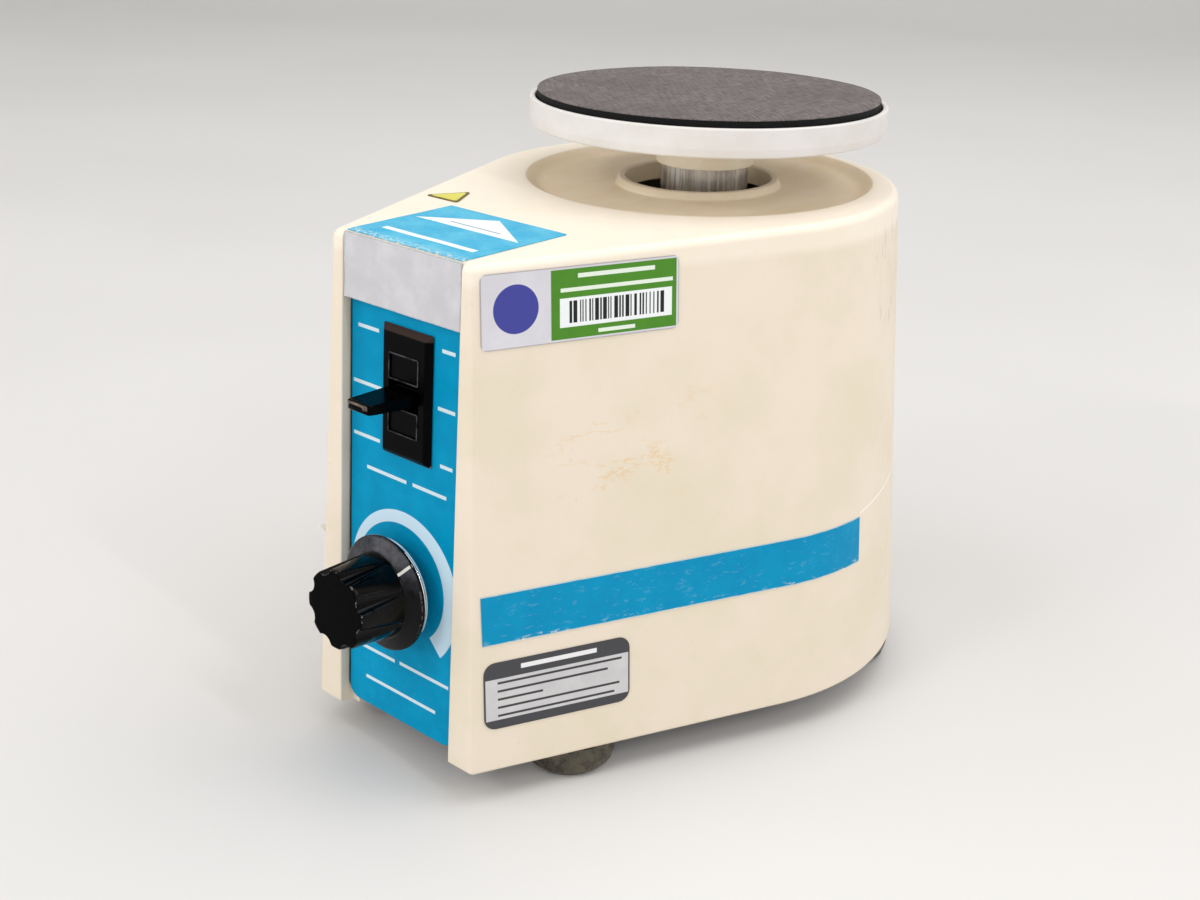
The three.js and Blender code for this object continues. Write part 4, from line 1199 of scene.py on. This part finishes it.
def front_panel():
    across = (-PANEL["half"], PANEL["half"])
    up = (PANEL["bottom"], PANEL["top"])
    surface = flat_surface(0.05, 0.06)
    shape = film(across, up, (PANEL["corner"], 0.1), 32, 40, surface, 0, -PANEL["thickness"])
    obj = mesh_of("front_panel_film", shape, ROW @ PANEL_FACE)
    window = centred(*WINDOW, (-5, 5), (SWITCH_X, SWITCH_UP))
    hole = turned([(0, -5, 0), (CONTROL_HOLE, -5, 0), (CONTROL_HOLE, 5, 0), (0, 5, 0)], 48)
    carve(obj, (window, ROW @ PANEL_FACE), (hole, ROW @ PANEL_FACE @ Matrix.Translation((0, KNOB_UP, 0))))
    piece(obj, "panel", "casing", ["front_panel"])


def nameplate():
    across = (-NAMEPLATE["half"], NAMEPLATE["half"])
    up = (NAMEPLATE["bottom"], NAMEPLATE["top"])
    surface = flat_surface(0.18, 0.12)
    shape = film(across, up, (0.2, 0.1), 48, 20, surface, 0, -0.26)
    seat = Matrix.Translation((0, 0, -NAMEPLATE["depth"] + 0.05))
    obj = mesh_of("nameplate_film", shape, ROW @ FRONT @ seat)
    piece(obj, "nameplate", "casing", ["nameplate"])


def switch_body():
    """A bezel on a deep box, with a slot for the lever and a raised frame above and below it."""
    face = ROW @ PANEL_FACE
    middle = (SWITCH_X, SWITCH_UP)
    width, height, chamfer, proud = BEZEL.values()
    loops = []
    for inset, z in (
        (0.3, 0.1), (0, 0.25), (0, 0.35), (chamfer - 0.25, proud - 0.2), (chamfer, proud - 0.05),
        (chamfer + 0.3, proud),
    ):
        path = rectangle(width - 2 * inset, height - 2 * inset, 0.35, middle)
        loops.append([(p.x, p.y, z) for p in path])
    shape = Shape()
    shape.loft(loops)
    obj = mesh_of("switch_bezel", shape, face)
    box = slab(SWITCH_BOX["width"], SWITCH_BOX["height"], 0.6, -SWITCH_BOX["depth"], 0.15, 0.05, middle)
    carve(obj, (box, face), operation="UNION")
    width, near, far, rib = FRAMES.values()
    for side in (-1, 1):
        centre = (SWITCH_X, SWITCH_UP + side * (near + far) / 2)
        outer = slab(width, far - near, 0.4, proud - 0.5, proud + 0.22, 0.1, centre)
        inner = slab(width - 2 * rib, far - near - 2 * rib, 0.2, proud - 0.22, 5, 0.1, centre)
        carve(obj, (outer, face), operation="UNION")
        carve(obj, (inner, face))
    slot = centred(*SLOT, (-7.1, 5), middle)
    well = centred(*WELL, (-7.1, 0.9), middle)
    carve(obj, (slot, face), (well, face))
    piece(obj, "bezel", "casing", ["switch_body"])


def lever():
    """A tapered paddle with rounded tip corners, on a round hub."""
    shape = Shape()
    rings = []
    for step in range(25):
        out = mix(-2, LEVER_LENGTH, step / 24)
        half_width, half_thick = (mix(root, tip, step / 24) for root, tip in zip(LEVER_ROOT, LEVER_TIP))
        half_width -= rounding(out - (LEVER_LENGTH - LEVER_CORNER), LEVER_CORNER)
        half_thick -= rounding(out - (LEVER_LENGTH - LEVER_EDGE), LEVER_EDGE)
        half_thick = max(half_thick, 0.5)
        path = rectangle(2 * half_width, 2 * half_thick, min(0.45, half_thick * 0.8))
        rings.append([(p.x, p.y, out) for p in path])
    shape.loft(rings)
    matrix = ROW @ FRONT @ Matrix.Translation((SWITCH_X, SWITCH_UP, -LEVER_DEPTH))
    obj = mesh_of("lever_paddle", shape, matrix, 50)
    radius, half = LEVER_HUB
    hub = turned([(0, -half, 0), (radius, -half, 0.3), (radius, half, 0.3), (0, half, 0)], 48)
    hub.moved(Matrix.Rotation(math.pi / 2, 4, "Y"))
    carve(obj, (hub, matrix), operation="UNION", angle=50)
    piece(obj, "lever", "lever", ["switch_lever"])


front_panel()
nameplate()
switch_body()
lever()

# ---- Knob -----------------------------------------------------------------------------------------

KNOB = PANEL_FACE @ Matrix.Translation((0, KNOB_UP, 0))
POINTER = math.radians(90 - 43.5)



def fluted(reach, angle, groove):
    """The reach at an angle, less what the flutes take away."""
    for index in range(FLUTES):
        flute = POINTER + 2 * math.pi * (index + 0.5) / FLUTES
        turn = (angle - flute + math.pi) % (2 * math.pi) - math.pi
        beside = FLUTE_REACH * math.sin(turn)
        if abs(turn) < 1 and abs(beside) < groove:
            cut = FLUTE_REACH * math.cos(turn) - math.sqrt(groove * groove - beside * beside)
            over = max(0, reach - cut)
            reach -= over * over / (over + FLUTE_LIP)
    return reach


def knob():
    """A skirted knob whose flutes deepen towards its tip."""
    segments = 192
    side = SKIRT_RADIUS
    profile = rounded([
        (3.2, KNOB_BACK, 0), (side - 0.4, KNOB_BACK, 0.15), (side, 5.35, 0.15), (side, 5.95, 0.25),
        (side - 0.4, 6.2, 0.3), (10.6, 7.45, 0.9), (9.9, KNOB_TIP, 0.4), (0, KNOB_TIP, 0),
    ], 4, closed=False)
    fine = []
    for start, end in zip(profile, profile[1:]):
        pieces = max(1, int((end - start).length / 0.8))
        fine.extend(start.lerp(end, step / pieces) for step in range(pieces))
    fine.append(profile[-1])
    shape = Shape()
    shape.print = []
    rings = []
    for radius, z in fine:
        ring = []
        depth = min(max((z - FLUTE_START) / FLUTE_LENGTH, 0), 1)
        groove = mix(*FLUTE_RADII, depth) if z > FLUTE_START and radius > 3.3 else 0
        for i in range(segments):
            angle = 2 * math.pi * i / segments
            reach = fluted(radius, angle, groove)
            ring.append(round_point(reach, angle, z))
            shape.print.append((
                -reach * math.sin(angle - POINTER) if z < SKIRT_FACE[1] else 30,
                reach * math.cos(angle - POINTER) if SKIRT_FACE[0] < z < SKIRT_FACE[1] else 0,
            ))
        rings.append(ring)
    shape.loft(rings)
    obj = mesh_of("knob_moulding", shape, ROW @ KNOB, 45)
    piece(obj, "knob", "dial", ["knob"])


def knob_ring():
    radius, bore, back, front = RING.values()
    profile = [(bore, back, 0.1), (radius, back, 0.2), (radius, front, 0.35), (radius - 1.7, front, 0.1)]
    profile.append((bore, front, 0.2))
    obj = mesh_of("knob_ring_turned", turned(profile, 128, 4, closed=True), ROW @ KNOB)
    piece(obj, "aluminium", "dial", ["knob_ring"])


knob()
knob_ring()

# ---- Platform -------------------------------------------------------------------------------------


def head():
    """The sleeve, the hub on it and the tray, turned round the platform's axis."""
    low, floor, top = TRAY.values()
    bore, bottom, end = SLEEVE.values()
    side = SLEEVE_RADIUS
    sleeve = [(side, bottom, 0.3), (side, end, 0.3), (bore, end, 0.1), (bore, bottom, 0.1)]
    grip = SLEEVE_RADIUS + 0.1
    boss = [
        (0, BOSS_FLOOR, 0), (grip, BOSS_FLOOR, 0.1), (grip, BOSS_BOTTOM, 0.2),
        (BOSS_RADIUS, BOSS_BOTTOM, 0.3), (BOSS_RADIUS, BOSS_TOP, 0.2), (0, BOSS_TOP, 0),
    ]
    tray = [
        (0, low, 0), (TRAY_RADIUS - 0.5, low, 0.9), (TRAY_RADIUS, low + 2.2, 1.2), (TRAY_RADIUS, top, 0.5),
        (TRAY_INNER, top, 0.4), (TRAY_INNER - 0.1, floor, 0.3), (0, floor, 0),
    ]
    for name, shape, look, slot in (
        ("sleeve", turned(sleeve, 96, 3, closed=True), "sleeve", "aluminium"),
        ("platform_boss", turned(boss, 96), "hub", "casing"),
        ("platform_tray", turned(tray, 160, 6), "tray", "white_plastic"),
    ):
        obj = mesh_of(name + "_turned", shape, ROW @ HEAD)
        piece(obj, look, "platform", [name])


def mat():
    """The pad: a little crowned, with a soft edge that isn't perfectly round."""
    shape = Shape()
    segments = 160
    levels = [(0.02, MAT["bottom"]), (MAT_RADIUS - 0.4, MAT["bottom"]), (MAT_RADIUS, MAT["bottom"] + 0.4)]
    levels += [(MAT_RADIUS, z) for z in (144.6, 146.4, MAT["top"] - 0.5)]
    for inset, drop in quarter(0.22, 4):
        levels.append((MAT_RADIUS - inset, MAT["top"] - 0.1 - drop))
    levels += [(radius, MAT["top"] - 0.1) for radius in (43, 40, 34, 26, 18, 10, 4, 0.02)]
    rings = []
    for radius, z in levels:
        ring = []
        for i in range(segments):
            angle = 2 * math.pi * i / segments
            wobble = 0.12 * noise.noise(Vector(round_point(3, angle, 2))) - 0.12
            swell = 0.1 * noise.noise(Vector(round_point(radius * 0.05, angle, z)))
            reach = radius + (wobble if radius > 42 else 0)
            rise = swell if z > 147.5 else 0
            ring.append(round_point(reach, angle, z + rise))
        rings.append(ring)
    shape.loft(rings)
    obj = mesh_of("platform_mat_pad", shape, ROW @ HEAD, 60)
    piece(obj, "mat", "platform", ["platform_mat"])


def boot():
    mouth = SLEEVE_RADIUS + ECCENTRIC + 0.6
    profile = [
        (mouth, 116, 0.2), (mouth, 117.6, 0.5), (25.5, 117.2, 0.6), (26.3, 116, 0.5), (24.4, 113.2, 0.9),
        (26.3, 110.6, 0.9), (26.3, 107.3, 0.3), (22.6, 107.3, 0.3), (24.3, 111, 0.6), (22.4, 113.2, 0.6),
        (23.8, 115.6, 0.3),
    ]
    obj = mesh_of("dust_boot_moulded", turned(profile, 96, 4, closed=True), ROW @ AXIS, 50)
    piece(obj, "boot", "carriage", ["dust_boot"])


head()
mat()
boot()

# ---- Press springs --------------------------------------------------------------------------------


def press_spring(name):
    """A coil for the spring that the platform presses down on, filling the CAD spring's box."""
    low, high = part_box(name)
    middle = (low + high) / 2
    wire = SPRING_WIRE / 1000
    turns, per_turn, sides = SPRING_TURNS, 32, 12
    radius = (high.x - low.x) / 2 - wire
    shape = Shape()
    rings = []
    for step in range(turns * per_turn + 1):
        share = step / (turns * per_turn)
        angle = 2 * math.pi * turns * share
        out = Vector((math.cos(angle), math.sin(angle), 0))
        centre = Vector((middle.x, middle.y, mix(low.z + wire, high.z - wire, share))) + radius * out
        ring = []
        for side in range(sides):
            turn = 2 * math.pi * side / sides
            ring.append(centre + wire * (math.cos(turn) * out + math.sin(turn) * Vector((0, 0, 1))))
        rings.append(ring)
    shape.loft(rings)
    obj = mesh_of(name + "_coil", shape, Matrix.Identity(4), 50)
    piece(obj, "steel", "casing", [name])
    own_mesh(obj)


for spring in ("press_spring_left", "press_spring_right"):
    press_spring(spring)

# ---- Feet -----------------------------------------------------------------------------------------


def feet():
    widest, well, bore = FOOT.values()
    profile = [
        (bore, -4, 0.2), (well, -4, 0.3), (well, -FOOT_DROP, 0.4), (9.4, -FOOT_DROP, 0.5),
        (11.1, -6.8, 1.2), (widest, -4, 1.5), (11.5, -0.3, 0.3), (bore, -0.3, 0.3),
    ]
    for name, (x, y) in FEET.items():
        shape = turned(profile, 72, 4, closed=True)
        obj = mesh_of(name + "_moulded", shape, ROW @ Matrix.Translation((x, y, 0)), 60)
        piece(obj, "foot", "casing", [name])


feet()

# ---- Power inlet ----------------------------------------------------------------------------------

def inlet():
    """The standard inlet: a flange, a box behind it, a mouth with two cut corners, and three pins."""
    shape = slab(*INLET_FLANGE, 1.6, 0, 2, 0.5)
    obj = mesh_of("power_inlet_moulded", shape, ROW @ BACK, 40)
    box = slab(*INLET_BOX, 0.6, -INLET_DEPTH, 0.6, 0.1)
    carve(obj, (box, ROW @ BACK), operation="UNION")
    right = [(11.9, -8.2, 0.8), (11.9, 4.6, 0.5), (8.3, 8.2, 0.5)]
    path = rounded(right + [(-x, y, radius) for x, y, radius in reversed(right)])
    mouth = Shape()
    mouth.loft([[(p.x, p.y, z) for p in path] for z in (-INLET_MOUTH, 6)])
    carve(obj, (mouth, ROW @ BACK), angle=40)
    piece(obj, "dark", "casing", ["power_inlet"])
    for name, (x, z) in PINS.items():
        pin = slab(2, 4, 0.3, -INLET_DEPTH - 1, -2.3, 0.6, (-x, z))
        obj = mesh_of(f"inlet_pin_{name}_blade", pin, ROW @ BACK)
        piece(obj, "steel", "casing", [f"inlet_pin_{name}"])


inlet()

# ---- CAD nodes that stay --------------------------------------------------------------------------

SLOT_LOOKS = {
    "steel": "steel", "aluminium": "aluminium", "copper": "copper", "board": "board",
    "black_plastic": "dark", "white_plastic": "tray", "bush_rubber": "bush",
}
for part in frame["record"]["subparts"]:
    node = frame["nodes"][part["node"]]
    if node.hide_render:
        continue
    look = LOOKS[SLOT_LOOKS[part["material_slot"]]]
    for slot in node.material_slots:
        slot.material = look
    if not node.material_slots:
        node.data.materials.append(look)

# ---- Floor, light and camera ----------------------------------------------------------------------


def floor():
    """A pale floor that turns up into a backdrop a long way behind."""
    look = Look("pale_floor", roughness=0.55, specular=0.3)
    tone = look.noise(0.004, 2)
    look.base(look.spread(tone, 0.3, 0.7), rgb(214, 212, 210), rgb(217, 215, 213))
    look.bump((look.noise(0.8, 3), 0.004))
    path = rounded([(-3, 0, 0), (2.6, 0, 1), (2.6, 2.4, 0)], 24, closed=False)
    shape = Shape()
    lines = [shape.ring([(x, p.x, p.y) for p in path]) for x in (-3.5, 3.5)]
    shape.bridge(lines[0], lines[1], closed=False)
    obj = mesh_of("floor", shape, Matrix.Rotation(math.radians(42), 4, "Z"))
    obj.data.materials.append(look.done())


def soft_light(name, place, aim, size, power, colour=(1, 1, 1)):
    data = bpy.data.lights.new(name, "AREA")
    data.shape = "RECTANGLE"
    data.size, data.size_y = size
    data.energy = power
    data.color = colour
    obj = bpy.data.objects.new(name, data)
    obj.location = place
    obj.rotation_euler = (Vector(aim) - Vector(place)).to_track_quat("-Z", "Y").to_euler()
    bpy.context.scene.collection.objects.link(obj)


def lights():
    middle = (0, 0, 0.08)
    soft_light("key", (-0.5, -1, 1.5), middle, (1.6, 1.2), 7.2, (1, 0.99, 0.97))
    soft_light("low", (-0.9, -1.3, 0.35), middle, (1, 0.4), 4.6, (1, 0.98, 0.97))
    soft_light("fill", (1.5, -0.9, 0.6), middle, (1.4, 1), 4.6, (1, 0.98, 0.98))
    soft_light("overhead", (0.3, 0.5, 1.7), middle, (1.6, 1.6), 16)
    soft_light("behind", (1.3, 1.1, 0.75), middle, (1, 0.6), 3.5)
    soft_light("window", (-0.2, -1.5, 1.1), middle, (0.35, 0.06), 3.5)
    soft_light("far_window", (1.3, -0.2, 1.2), middle, (0.06, 0.4), 3)
    world = bpy.data.worlds.new("studio")
    world.use_nodes = True
    background = world.node_tree.nodes["Background"]
    background.inputs[0].default_value = (1, 1, 1, 1)
    background.inputs[1].default_value = 0.57
    bpy.context.scene.world = world


def camera():
    """The photograph's viewing angle: 42 degrees to the right of the front and 21 degrees above."""
    turn, pitch, roll = math.radians(41.93), math.radians(21.45), math.radians(1.67)
    level = Vector((math.cos(turn), math.sin(turn), 0))
    ahead = Vector((-level.y, level.x, 0))
    forward = ahead * math.cos(pitch) - Vector((0, 0, math.sin(pitch)))
    upward = level.cross(forward)
    right = level * math.cos(roll) + upward * math.sin(roll)
    up = upward * math.cos(roll) - level * math.sin(roll)
    data = bpy.data.cameras.new("camera")
    data.lens = 47.38
    data.sensor_width = 36
    data.shift_x = 0.00525
    data.clip_start = 0.01
    obj = bpy.data.objects.new("camera", data)
    place = ROW @ Vector((265.5, -328.5, 212.6))
    obj.matrix_world = basis(right, up, -forward, place)
    bpy.context.scene.collection.objects.link(obj)
    bpy.context.scene.camera = obj


floor()
lights()
camera()
bpy.context.scene.view_settings.view_transform = "Standard"
